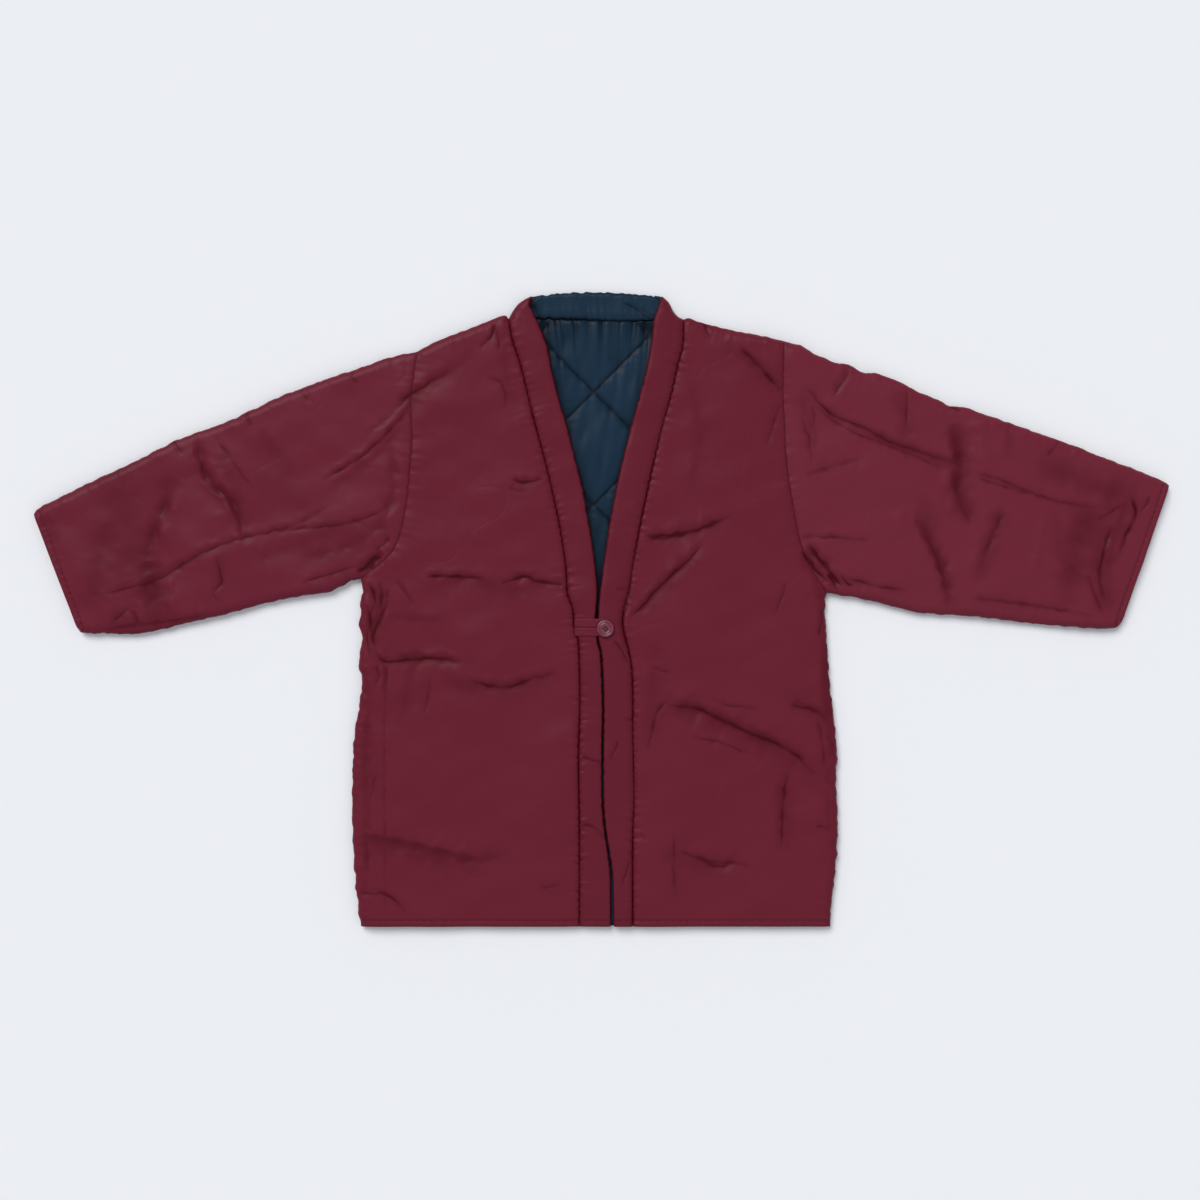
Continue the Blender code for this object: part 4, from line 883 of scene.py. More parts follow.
def toStep(shares, step):
    # shares whose count is a whole number of steps plus one
    spare = (len(shares) - 1) % step
    if spare == 0:
        return shares
    wanted = step - spare
    shares = list(shares)
    for turn in range(wanted):
        widest = int(np.argmax(np.diff(shares)))
        shares.insert(widest + 1, (shares[widest] + shares[widest + 1]) / 2)
    return np.array(shares)


def gridFaces(rows, columns, first, ring=False, flip=False):
    r, c = np.meshgrid(np.arange(rows - 1), np.arange(columns if ring else columns - 1), indexing="ij")
    n = (c + 1) % columns
    quads = np.stack([r * columns + c, r * columns + n, (r + 1) * columns + n, (r + 1) * columns + c], axis=-1)
    quads = quads.reshape(-1, 4) + first
    return quads[:, ::-1] if flip else quads


def newObject(name, verts, faces, finishes, faceFinish=None, fold=None):
    mesh = bpy.data.meshes.new(name)
    mesh.from_pydata(verts.tolist(), [], faces)
    for finish in finishes:
        mesh.materials.append(finish)
    if faceFinish is not None:
        mesh.polygons.foreach_set("material_index", np.array(faceFinish, np.int32))
    # stores the painted shade on the points, for the cloth materials
    if fold is not None:
        mesh.attributes.new("fold", "FLOAT", "POINT").data.foreach_set("value", fold.astype(np.float32))
    mesh.shade_smooth()
    mesh.validate()
    made = bpy.data.objects.new(name, mesh)
    collection.objects.link(made)
    return made


def outwards(verts, faces):
    # turns all the faces round if they point inwards
    volume = 0.0
    for face in faces:
        a, b = verts[face[0]], verts[face[1]]
        for corner in face[2:]:
            c = verts[corner]
            volume += a[0] * (b[1] * c[2] - b[2] * c[1]) - a[1] * (b[0] * c[2] - b[2] * c[0]) + a[2] * (b[0] * c[1] - b[1] * c[0])
            b = c
    return faces if volume > 0 else [face[::-1] for face in faces]


def wall(name, outer, inner, step, finishes, fold):
    # one closed wall of cloth: a fine outer grid, and an inner grid with one point for each step
    rows, columns = outer.shape[:2]
    innerRows, innerColumns = inner.shape[:2]
    first = rows * columns
    verts = np.vstack([outer.reshape(-1, 3), inner.reshape(-1, 3)]) * mm
    outerQuads = gridFaces(rows, columns, 0).tolist()
    innerQuads = gridFaces(innerRows, innerColumns, first, flip=True).tolist()
    loop = (
        [(0, c) for c in range(columns - 1)] + [(r, columns - 1) for r in range(rows - 1)]
        + [(rows - 1, c) for c in range(columns - 1, 0, -1)] + [(r, 0) for r in range(rows - 1, 0, -1)]
    )
    loop.append(loop[0])
    corners = [place for place, (r, c) in enumerate(loop) if r % step == 0 and c % step == 0]
    rim = []
    for start, end in zip(corners, corners[1:]):
        dense = [r * columns + c for r, c in loop[start:end + 1]]
        r0, c0 = loop[start]
        r1, c1 = loop[end]
        back0 = first + (r0 // step) * innerColumns + c0 // step
        back1 = first + (r1 // step) * innerColumns + c1 // step
        rim.append([back0, back1] + dense[::-1])
    faces = outwards(verts, outerQuads + innerQuads + rim)
    faceFinish = [0] * len(outerQuads) + [len(finishes) - 1] * len(innerQuads) + [0] * len(rim)
    paintedShadeAll = np.concatenate([fold.ravel(), np.zeros(innerRows * innerColumns)])
    return newObject(name, verts, faces, finishes, faceFinish, paintedShadeAll)


def finishPiece(piece, node):
    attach(piece, "root")
    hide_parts(node)


def seamParts(side):
    return {name: lines[name + side] for name in (
        "shoulder", "sleeveTop", "sleeveUnder", "armhole", "side", "neckSeam", "bandSeam", "bandFold",
        "bandEdgeTop", "bandEdge",
    )}


# Fronts

frontPiece = {"spacing": 1.6, "step": 5, "upperRows": 172, "width": 262.0, "cut": {"Right": (0.30, 0.79), "Left": (0.28, 0.77)}}


def makeFront(side):
    parts = seamParts(side)
    turn = 1 if side == "Right" else -1
    upperShares = densified(303.0, frontPiece["spacing"], True, False)
    lowerShares = densified(446.0, frontPiece["spacing"], False, True)
    allRows = toStep(np.concatenate([upperShares * 0.4, 0.4 + lowerShares[1:] * 0.6]), frontPiece["step"])
    upperPart = allRows[allRows <= 0.4 + 1e-9] / 0.4
    lowerPart = (allRows[allRows > 0.4 + 1e-9] - 0.4) / 0.6
    lowerPart = np.concatenate([[0.0], lowerPart])
    columns = toStep(densified(frontPiece["width"], frontPiece["spacing"]), frontPiece["step"])
    outerEdge = joined(atShares(parts["armhole"], upperPart), atShares(parts["side"], lowerPart))
    seamEdge = joined(atShares(parts["neckSeam"], upperPart), atShares(parts["bandSeam"], lowerPart))
    armholeRows = len(upperPart)
    outerEdge[:armholeRows] += leftNormals(outerEdge[:armholeRows]) * turn * cloth["gap"] / 2
    seamEdge -= leftNormals(seamEdge) * turn * cloth["gap"] / 2
    top = atShares(parts["shoulder"][::-1], columns)
    plan = patch(outerEdge, seamEdge, top, straight(outerEdge[-1], seamEdge[-1], columns))
    rows = creases["front" + side] + creases["sleeve" + side] + creases["bands"]
    outer, fold = layer(plan, 0.0, True, rows=rows)
    coarse = plan[::frontPiece["step"], ::frontPiece["step"]]
    inner, _ = layer(coarse, cloth["frontThick"], True, rows=rows, detail=False)
    piece = wall("front" + side, outer, inner, frontPiece["step"], (maroon, navy), fold)
    finishPiece(piece, "front_" + side.lower())
    return piece


fronts = {side: makeFront(side) for side in ("Right", "Left")}
print("fronts made:", [len(piece.data.polygons) for piece in fronts.values()])


# Collar bands

bandPiece = {
    "spacing": 1.6, "step": 4, "width": 42.0, "edgeDark": 1.5, "shade": 0.10,
    "crown": ((0.0, 0.0), (0.05, 0.1), (0.16, 0.5), (0.35, 0.8), (0.62, 0.9), (0.86, 0.8), (0.955, 0.1), (0.985, -1.3), (1.0, -3.6)),
}


def makeBand(side):
    parts = seamParts(side)
    turn = 1 if side == "Right" else -1
    upperShares = densified(345.0, bandPiece["spacing"], True, False)
    lowerShares = densified(448.0, bandPiece["spacing"], False, True)
    allRows = toStep(np.concatenate([upperShares * 0.44, 0.44 + lowerShares[1:] * 0.56]), bandPiece["step"])
    upperPart = allRows[allRows <= 0.44 + 1e-9] / 0.44
    lowerPart = np.concatenate([[0.0], (allRows[allRows > 0.44 + 1e-9] - 0.44) / 0.56])
    columns = toStep(densified(bandPiece["width"], 1.5), bandPiece["step"])
    seam = joined(atShares(parts["neckSeam"], upperPart), atShares(parts["bandSeam"], lowerPart))
    edge = joined(atShares(parts["bandEdgeTop"], upperPart), atShares(parts["bandEdge"], lowerPart))
    seam += leftNormals(seam) * turn * cloth["gap"] / 2
    plan = patch(seam, edge, atShares(parts["bandFold"], columns), straight(seam[-1], edge[-1], columns))
    crown = np.interp(columns, *zip(*bandPiece["crown"]))[None, :]
    rows = creases["bands"] + creases["front" + side][:14]
    outer, fold = layer(plan, 0.0, True, crown=crown, rows=rows)
    # painted shade along the band's edge by the gap, and a little painted shade over the whole band
    toEdge = (1 - columns[None, :]) * bandPiece["width"]
    gapShade = 0.9 + 0.25 * waves(plan[:, -1:, 1], 17.0, 83)
    fold = np.maximum(fold, np.clip(gapShade, 0, 1) * np.exp(-(toEdge / bandPiece["edgeDark"]) ** 2))
    fold = bandPiece["shade"] + (1 - bandPiece["shade"]) * fold
    coarse = plan[::bandPiece["step"], ::bandPiece["step"]]
    inner, _ = layer(coarse, cloth["frontThick"], True, rows=rows, detail=False)
    piece = wall("collarBand" + side, outer, inner, bandPiece["step"], (maroon, navy), fold)
    finishPiece(piece, "collar_band_" + side.lower())
    return piece


bands = {side: makeBand(side) for side in ("Right", "Left")}
print("bands made")


# Sleeves, each one flattened tube

sleevePiece = {"rowSpacing": 1.8, "columnSpacing": 1.9, "underSpacing": 5.0, "innerRows": 24, "length": 500.0, "depth": 292.0}

underCreases = (
    (5.0, 1.0, ((-560, 150), (-500, 110), (-430, 60), (-380, 40))),
    (4.0, 0.8, ((-640, 60), (-600, 40), (-540, 30))),
    (5.0, 0.9, ((-470, 210), (-420, 190), (-350, 150))),
    (5.0, 1.0, ((560, 150), (500, 90), (420, 60), (370, 50))),
    (4.0, 0.8, ((650, 80), (600, 40), (560, 20))),
    (5.0, 0.9, ((480, 220), (430, 190), (350, 140))),
    (5.0, 1.0, ((-220, 240), (-150, 160), (-40, 110), (60, 90))),
    (5.0, 1.0, ((210, 220), (150, 120), (70, 60))),
    (5.0, 1.1, ((-270, 10), (-190, -40), (-90, -60), (-20, -50))),
    (5.0, 1.0, ((260, -60), (180, -100), (90, -110))),
    (4.0, 0.9, ((-280, -210), (-200, -240), (-120, -230))),
    (4.0, 0.9, ((250, -260), (160, -290), (60, -280))),
)


def underTroughs(points):
    height = np.zeros(points.shape[:-1])
    for number, (width, depth, path) in enumerate(underCreases):
        line = smoothLine(path, steps=5)
        low, high = line.min(0) - 4 * width, line.max(0) + 4 * width
        inside = ((points > low) & (points < high)).all(-1)
        if inside.any():
            near, _, along, _ = nearest(points[inside], segmentsOf(line))
            share = along / lengthsAlong(line)[-1]
            height[inside] += depth * np.exp(-(near / width) ** 2) * np.sin(math.pi * share)
    return height


def makeSleeve(side):
    parts = seamParts(side)
    turn = 1 if side == "Right" else -1
    alongShares = densified(sleevePiece["length"], sleevePiece["rowSpacing"])
    columns = densified(sleevePiece["depth"], sleevePiece["columnSpacing"])
    underColumns = densified(sleevePiece["depth"], sleevePiece["underSpacing"])
    top = atShares(parts["sleeveTop"], alongShares)
    under = atShares(parts["sleeveUnder"], alongShares)

    def plan(shares):
        armhole = atShares(parts["armhole"], shares)
        return patch(top, under, armhole, straight(top[-1], under[-1], shares)), armhole

    rows = creases["sleeve" + side] + creases["front" + side]
    upperPlan, armhole = plan(columns)
    upperPlan[0] -= leftNormals(armhole) * turn * cloth["gap"] / 2
    upper, fold = layer(upperPlan, 0.0, True, split=False, rows=rows)
    fold = darkenFields(upperPlan, fold, satinFields["sleeve" + side])
    lowerPlan, armhole = plan(underColumns)
    lowerPlan[0] -= leftNormals(armhole) * turn * cloth["gap"] / 2
    lower, _ = layer(lowerPlan, 0.0, False, split=False)
    lower[..., 2] += underTroughs(lowerPlan) * np.clip((nearest(lowerPlan, closedEdges)[0] - 10) / 20, 0, 1)
    outer = np.concatenate([upper, lower[:, -2:0:-1]], axis=1)
    fold = np.concatenate([fold, np.zeros((len(fold), lower.shape[1] - 2))], axis=1)

    picked = np.unique(np.round(np.linspace(0, len(alongShares) - 1, sleevePiece["innerRows"])).astype(int))
    innerUpper, _ = layer(upperPlan[picked], cloth["frontThick"], True, split=False, detail=False)
    innerLower, _ = layer(lowerPlan[picked], cloth["frontThick"], False, split=False)
    inner = np.concatenate([innerUpper, innerLower[:, -2:0:-1]], axis=1)

    ring = outer.shape[1]
    first = outer.shape[0] * ring
    verts = np.vstack([outer.reshape(-1, 3), inner.reshape(-1, 3)]) * mm
    outerQuads = gridFaces(outer.shape[0], ring, 0, ring=True).tolist()
    innerQuads = gridFaces(inner.shape[0], ring, first, ring=True, flip=True).tolist()
    rim = []
    lastOuter, lastInner = (outer.shape[0] - 1) * ring, first + (inner.shape[0] - 1) * ring
    for c in range(ring):
        n = (c + 1) % ring
        rim.append([first + c, first + n, n, c])
        rim.append([lastOuter + c, lastOuter + n, lastInner + n, lastInner + c])
    faces = outwards(verts, outerQuads + innerQuads + rim)
    faceFinish = [0] * len(outerQuads) + [1] * len(innerQuads) + [0] * len(rim)
    paintedShadeAll = np.concatenate([fold.ravel(), np.zeros(inner.shape[0] * ring)])
    piece = newObject("sleeve" + side, verts, faces, (sleeveSheenMaroon[side], navy), faceFinish, paintedShadeAll)
    finishPiece(piece, "sleeve_" + side.lower())
    return piece


sleeves = {side: makeSleeve(side) for side in ("Right", "Left")}
print("sleeves made:", [len(piece.data.polygons) for piece in sleeves.values()])


# Back

backPiece = {"spacing": 3.4, "step": 4}


def makeBack():
    right, left = seamParts("Right"), seamParts("Left")
    rowShares = toStep(np.concatenate([
        densified(303.0, backPiece["spacing"], True, False) * 0.4,
        0.4 + densified(446.0, backPiece["spacing"], False, True)[1:] * 0.6,
    ]), backPiece["step"])
    upperPart = rowShares[rowShares <= 0.4 + 1e-9] / 0.4
    lowerPart = np.concatenate([[0.0], (rowShares[rowShares > 0.4 + 1e-9] - 0.4) / 0.6])
    sides = []
    for parts, turn in ((right, 1), (left, -1)):
        edge = joined(atShares(parts["armhole"], upperPart), atShares(parts["side"], lowerPart))
        edge[:len(upperPart)] += leftNormals(edge[:len(upperPart)]) * turn * cloth["gap"] / 2
        sides.append(edge)
    columns = toStep(densified(612.0, backPiece["spacing"]), backPiece["step"])
    neck = lines["neckSeamBack"] - (0, cloth["gap"] / 2)
    topLine = joined(right["shoulder"][::-1], neck, left["shoulder"])
    top = atShares(topLine, columns)
    plan = patch(sides[0], sides[1], top, straight(sides[0][-1], sides[1][-1], columns))
    outer, _ = layer(plan, 0.0, False)
    edgeDistance = nearest(plan, closedEdges)[0]
    outer[..., 2] += underTroughs(plan) * np.clip((edgeDistance - 10) / 20, 0, 1)
    inner, _ = layer(plan[::backPiece["step"], ::backPiece["step"]], cloth["backThick"], False)
    piece = wall("backPanel", outer, inner, backPiece["step"], (maroon, navy), np.zeros(outer.shape[:2]))
    finishPiece(piece, "back")
    return piece


back = makeBack()
print("back made")


# Quilted lining of the back

quilt = {
    "diagonal": 144.0, "origin": (-10.0, 278.0), "base": 3.3, "stitched": 1.4, "rise": 3.6, "groove": 0.42,
    "inset": 10.0, "seamInset": 3.0, "hemInset": 3.5, "step": 4, "wrinkle": 0.7, "gather": 1.1, "gatherReach": 46.0,
}


def quiltAcross(points):
    dx, dy = points[..., 0] - quilt["origin"][0], points[..., 1] - quilt["origin"][1]
    return (dx + dy) / math.sqrt(2), (dx - dy) / math.sqrt(2)


def quiltHeight(points):
    # height of the lining, and its painted shade: in the quilting grooves, gathers and wrinkle valleys, at the neck
    # seam, in a corner by the neck, as shadows of the bands along their edges and in the gap between them
    pitch = quilt["diagonal"] / math.sqrt(2)
    hump = 1.0
    for across in quiltAcross(points):
        hump = hump * np.abs(np.sin(math.pi * across / pitch)) ** quilt["groove"]
    neckGap = np.clip(371.0 - points[..., 1], 0, 1e3)
    drift = points[..., 0] + 0.10 * neckGap * np.sin(points[..., 0] / 31.0)
    gathers = waves(drift, 15.0, 61) + 0.5 * waves(drift, 7.0, 63)
    wrinkles = quilt["gather"] * gathers * np.exp(-neckGap / quilt["gatherReach"])
    wrinkles = wrinkles + quilt["wrinkle"] * softWaves(points * (1.8, 0.6), 34.0, 67)
    stitched = np.minimum.reduce([
        np.abs((across + pitch / 2) % pitch - pitch / 2) for across in quiltAcross(points)
    ])
    puckers = 0.4 * softWaves(points, 10.0, 71) * np.exp(-stitched / 8.0) * (1 - np.exp(-stitched / 1.5))
    edge = np.clip(neckGap / 5.0, 0, 1) ** 0.5
    height = quilt["base"] + quilt["stitched"] + (quilt["rise"] * hump + wrinkles + puckers) * edge
    # painted shade in the quilting grooves, the gathers below the neck and the wrinkle valleys
    dark = 0.85 * np.exp(-(stitched / 1.5) ** 2) + 0.25 * np.exp(-(stitched / 5.0) ** 2)
    dark = dark + 0.8 * np.clip(-gathers - 0.1, 0, 1) * np.exp(-neckGap / 30.0)
    dark = dark + 0.3 * np.clip(-softWaves(points * (1.8, 0.6), 34.0, 67) - 0.4, 0, 1)
    dark = dark + np.exp(-(neckGap / 3.4) ** 2) + 0.3 * np.exp(-(neckGap / 22.0) ** 2)
    corner = np.hypot(points[..., 0] + 88, (points[..., 1] - 352) * 0.8)
    dark = dark + 0.9 * np.exp(-(corner / 15.0) ** 2)
    # painted shadows cast by the bands on the lining beside their edges
    for side, strong, reach in (("Right", 0.85, 8.0), ("Left", 0.5, 5.0)):
        line = lines["bandEdgeTop" + side]
        edgeX = np.interp(-points[..., 1], -line[:, 1], line[:, 0])
        dark = dark + strong * np.exp(-np.abs(points[..., 0] - edgeX) / reach)
    # painted shade in the gap between the bands
    between = np.clip((46 - points[..., 1]) / 12, 0, 1) * np.clip((points[..., 1] + 345) / 60, 0, 1)
    dark = dark + 0.8 * between * (np.abs(points[..., 0]) < 30)
    return height, np.clip(dark, 0, 1)


def makeLining():
    right, left = seamParts("Right"), seamParts("Left")
    upperPart = toStep(np.concatenate([np.linspace(0, 1, 150)]), quilt["step"])
    lowerPart = toStep(np.linspace(0, 1, 61), quilt["step"])
    sides = []
    for parts, turn in ((right, 1), (left, -1)):
        armhole = atShares(parts["armhole"], upperPart)
        armhole = armhole + leftNormals(armhole) * turn * (quilt["seamInset"] + 7.0 * upperPart[:, None] ** 3)
        below = atShares(parts["side"], lowerPart)
        below = below + leftNormals(below) * turn * quilt["inset"]
        below[-1][1] = hemY + quilt["hemInset"]
        edge = joined(armhole, below)
        turnRow = len(armhole)
        near = slice(turnRow - 9, turnRow + 4)
        edge[near] = straight(edge[near][0], edge[near][-1], np.linspace(0, 1, 13))
        sides.append(edge)
    shares = np.concatenate([np.linspace(0, 0.28, 22), np.linspace(0.28, 0.72, 126)[1:], np.linspace(0.72, 1, 22)[1:]])
    columns = toStep(shares, quilt["step"])
    topLine = joined(
        straight(sides[0][0], (-108.0, 366.0), (0, 0.3, 0.6, 0.9, 1)), straight((-108.0, 366.0), (-98, 369.6), (0, 1)),
        lines["neckSeamBack"][10:-10] - (0, cloth["gap"]), straight((85, 368.4), (100.0, 364.0), (0, 1)),
        straight((100.0, 364.0), sides[1][0], (0, 0.3, 0.6, 0.9, 1)),
    )
    top = atShares(topLine, columns)
    top[0], top[-1] = sides[0][0], sides[1][0]
    plan = patch(sides[0], sides[1], top, straight(sides[0][-1], sides[1][-1], columns))
    height, fold = quiltHeight(plan)
    outer = np.concatenate([plan, height[..., None]], axis=-1)
    coarse = plan[::quilt["step"], ::quilt["step"]]
    inner = np.concatenate([coarse, np.full(coarse.shape[:2] + (1,), quilt["base"])], axis=-1)
    piece = wall("backLining", outer, inner, quilt["step"], (navy,), fold)
    finishPiece(piece, "back_lining")
    return piece


lining = makeLining()
print("lining made")


# Collar behind the neck

collarPiece = {
    "step": 4, "puff": 1.7,
    "creases": (
        (2.6, 1.6, 0.5, ((28, 391), (38, 387), (50, 379), (60, 371), (66, 366))),
        (2.4, 1.2, -0.4, ((50, 384), (62, 377), (72, 372))),
        (2.6, 1.5, 0.5, ((-92, 396), (-86, 386), (-80, 374), (-78, 366))),
        (2.2, 0.9, 0.0, ((-20, 372), (-18, 380), (-21, 388))),
    ),
}


def makeCollarBack():
    columns = toStep(densified(45.0, 1.6), collarPiece["step"])  # from the neck seam to the free edge
    rows = toStep(densified(225.0, 1.6), collarPiece["step"])
    seam = atShares(lines["neckSeamBack"], rows) + (0, cloth["gap"] / 2)
    free = atShares(lines["collarTop"], rows)
    plan = patch(seam, free, atShares(lines["bandFoldRight"], columns), atShares(lines["bandFoldLeft"], columns))
    finishes = {"collarBack": (maroon, "collar_back", "maroon_cloth"), "collarBackFacing": (navy, "collar_back_facing", "navy_lining")}
    made = []
    for name, depths in (("collarBack", (0.0, cloth["backThick"])), ("collarBackFacing", (6.3, 3.3))):
        finish, node, slot = finishes[name]
        outer, _ = layer(plan, depths[0], False)
        inner, _ = layer(plan[::collarPiece["step"], ::collarPiece["step"]], depths[1], False)
        fold = np.zeros(outer.shape[:2])
        if name == "collarBackFacing":
            share = columns[None, :]
            fromSeam, fromEdge = share * 33.0, (1 - share) * 33.0
            puff = np.clip(fromSeam / 9.0, 0, 1) ** 0.5 * np.clip(fromEdge / 7.0, 0, 1) ** 0.5
            places = plan[..., 0]
            gathers = waves(places, 12.0, 73)
            wrinkles = gathers * 0.9 * np.exp(-fromSeam / 9.0) + 0.5 * waves(places, 14.0, 75) * np.exp(-fromEdge / 7.0)
            crease, creaseShade = creaseRelief(plan, collarPiece["creases"])
            soft = 0.5 * softWaves(plan * (1.0, 1.6), 40.0, 79)
            outer[..., 2] += (collarPiece["puff"] + wrinkles + soft + crease) * puff - 1.6 * (1 - np.clip(fromEdge / 4.0, 0, 1))
            # painted shade along the neck seam, in the gathers, below the top edge, in the creases and in a corner fold
            fold = 0.95 * np.exp(-(fromSeam / 2.4) ** 2) + 0.8 * np.clip(-gathers - 0.2, 0, 1) * np.exp(-fromSeam / 5.0)
            fold = fold + 0.45 * np.exp(-((fromEdge - 2.0) / 1.2) ** 2) + creaseShade
            fold = np.clip(fold + 0.9 * np.exp(-(np.hypot(places + 88, plan[..., 1] - 386) / 8.0) ** 2), 0, 1)
        piece = wall(name, outer, inner, collarPiece["step"], (finish,), fold)
        finishPiece(piece, node)
        made.append(piece)
    return made


collarBack, collarFacing = makeCollarBack()
print("collar made")


# Button and its loop of tape

button = {
    "x": 4.8, "y": -24.0, "radius": 11.0, "base": 19.4, "thick": 3.0, "holeRadius": 1.1, "holeRing": 2.5,
    "steps": 96,
    "profile": (
        (0.0, -1.0), (4.3, -1.0), (5.2, -0.94), (5.9, -0.72), (6.5, -0.62), (6.9, -0.78), (7.2, -0.9), (7.6, -0.6),
        (8.1, -0.18), (8.8, -0.02), (9.5, -0.05), (10.2, -0.32), (10.7, -0.75), (11.0, -1.4), (10.9, -1.9),
        (10.3, -2.5), (9.2, -2.9), (8.4, -3.0), (0.0, -3.0),
    ),
}


def makeButton():
    top = button["base"] + button["thick"]
    steps = button["steps"]
    rings = button["profile"][1:-1]
    angles = np.arange(steps) * 2 * math.pi / steps
    verts = [(0, 0, top + button["profile"][0][1])]
    for radius, drop in rings:
        verts += [(radius * math.cos(a), radius * math.sin(a), top + drop) for a in angles]
    verts.append((0, 0, button["base"]))
    faces = [[0, 1 + i, 1 + (i + 1) % steps] for i in range(steps)]
    for ring in range(len(rings) - 1):
        a, b = 1 + ring * steps, 1 + (ring + 1) * steps
        faces += [[a + i, b + i, b + (i + 1) % steps, a + (i + 1) % steps] for i in range(steps)]
    last = 1 + (len(rings) - 1) * steps
    faces += [[last + i, len(verts) - 1, last + (i + 1) % steps] for i in range(steps)]
    verts = np.array(verts) + (button["x"], button["y"], 0)
    piece = newObject("buttonDisc", verts * mm, faces, (buttonPlastic,))
    for turn in range(4):
        angle = turn * math.pi / 2
        place = ((button["x"] + button["holeRing"] * math.cos(angle)) * mm,
                 (button["y"] + button["holeRing"] * math.sin(angle)) * mm, (top - 1.5) * mm)
        bpy.ops.mesh.primitive_cylinder_add(vertices=24, radius=button["holeRadius"] * mm, depth=8 * mm, location=place)
        cutter = bpy.context.object
        cut = piece.modifiers.new("hole", "BOOLEAN")
        cut.object = cutter
        cut.operation = "DIFFERENCE"
        mesh = bpy.data.meshes.new_from_object(piece.evaluated_get(bpy.context.evaluated_depsgraph_get()))
        piece.modifiers.clear()
        piece.data = mesh
        bpy.data.objects.remove(cutter)
    piece.data.materials.clear()
    piece.data.materials.append(buttonPlastic)
    piece.data.shade_smooth()
    piece.data.set_sharp_from_angle(angle=math.radians(40))
    finishPiece(piece, "button")
    return piece


buttonDisc = makeButton()

loop = {
    "axisY": -22.6, "turnX": 4.0, "rootX": -34.6, "tape": 11.0, "eye": 3.8, "thick": 1.4, "base": 17.25,
    "profile": ((-0.5, 0.45), (-0.47, 0.8), (-0.42, 0.98), (-0.3, 1.08), (-0.1, 1.0), (0.1, 1.0), (0.3, 1.08),
                (0.42, 0.98), (0.47, 0.8), (0.5, 0.45), (0.47, 0.1), (0.4, 0.0), (0, 0.0), (-0.4, 0.0), (-0.47, 0.1)),
}


def loopSections():
    middle = (loop["tape"] + cloth["gap"]) / 2
    outside = middle + loop["tape"] / 2
    turnRadius, turnWidth = (outside + loop["eye"]) / 2, outside - loop["eye"]
    sections = []
    runs = np.linspace(0, 1, 22)[:-1]
    for share in runs:
        width = loop["tape"] + (turnWidth - loop["tape"]) * max(0, (share - 0.75) / 0.25) ** 2
        centre = middle + (turnRadius - middle) * max(0, (share - 0.75) / 0.25) ** 2
        sections.append((loop["rootX"] + (loop["turnX"] - loop["rootX"]) * share, loop["axisY"] + centre, (0, 1), width))
    for angle in np.linspace(math.pi / 2, -math.pi / 2, 24):
        out = (math.cos(angle), math.sin(angle))
        sections.append((loop["turnX"] + out[0] * turnRadius, loop["axisY"] + out[1] * turnRadius, out, turnWidth))
    for x, y, out, width in sections[:len(runs)][::-1]:
        sections.append((x, 2 * loop["axisY"] - y, (0, -1), width))
    return sections


def makeLoop():
    sections = loopSections()
    seamX = -33.8
    verts = []
    for x, y, out, width in sections:
        for share, level in loop["profile"]:
            px, py = x + out[0] * width * share, y + out[1] * width * share
            sunk = 2.6 * math.exp(-((px - seamX) / 7.0) ** 2) if px < seamX + 14 else 0.0
            wave = 0.12 * math.sin(px * 0.9 + 0.5 * py) * (1 if level > 0.5 else 0)
            verts.append((px, py, loop["base"] + level * loop["thick"] - min(sunk, 2.2) + wave))
    count = len(loop["profile"])
    faces = gridFaces(len(sections), count, 0, ring=True).tolist()
    faces.append(list(range(count)))
    faces.append(list(range((len(sections) - 1) * count, len(sections) * count))[::-1])
    verts = np.array(verts) * mm
    faces = outwards(verts, [list(face) for face in faces])
    piece = newObject("buttonLoop", verts, faces, (maroon,), None, np.zeros(len(verts)))
    finishPiece(piece, "button_loop")
    return piece


buttonLoop = makeLoop()
for node in ("button_stem", "button_stitches"):
    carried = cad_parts[node]
    carried.data.materials.clear()
    carried.data.materials.append(buttonThread)
print("button and loop made")



# Stitches: Geometry Nodes lay short threads along rows

stitch = {
    "pitch": 3.3, "length": 2.5, "thread": 0.24, "arch": 0.30, "seed": 7, "lift": 0.10, "hemInset": 8.4,
}


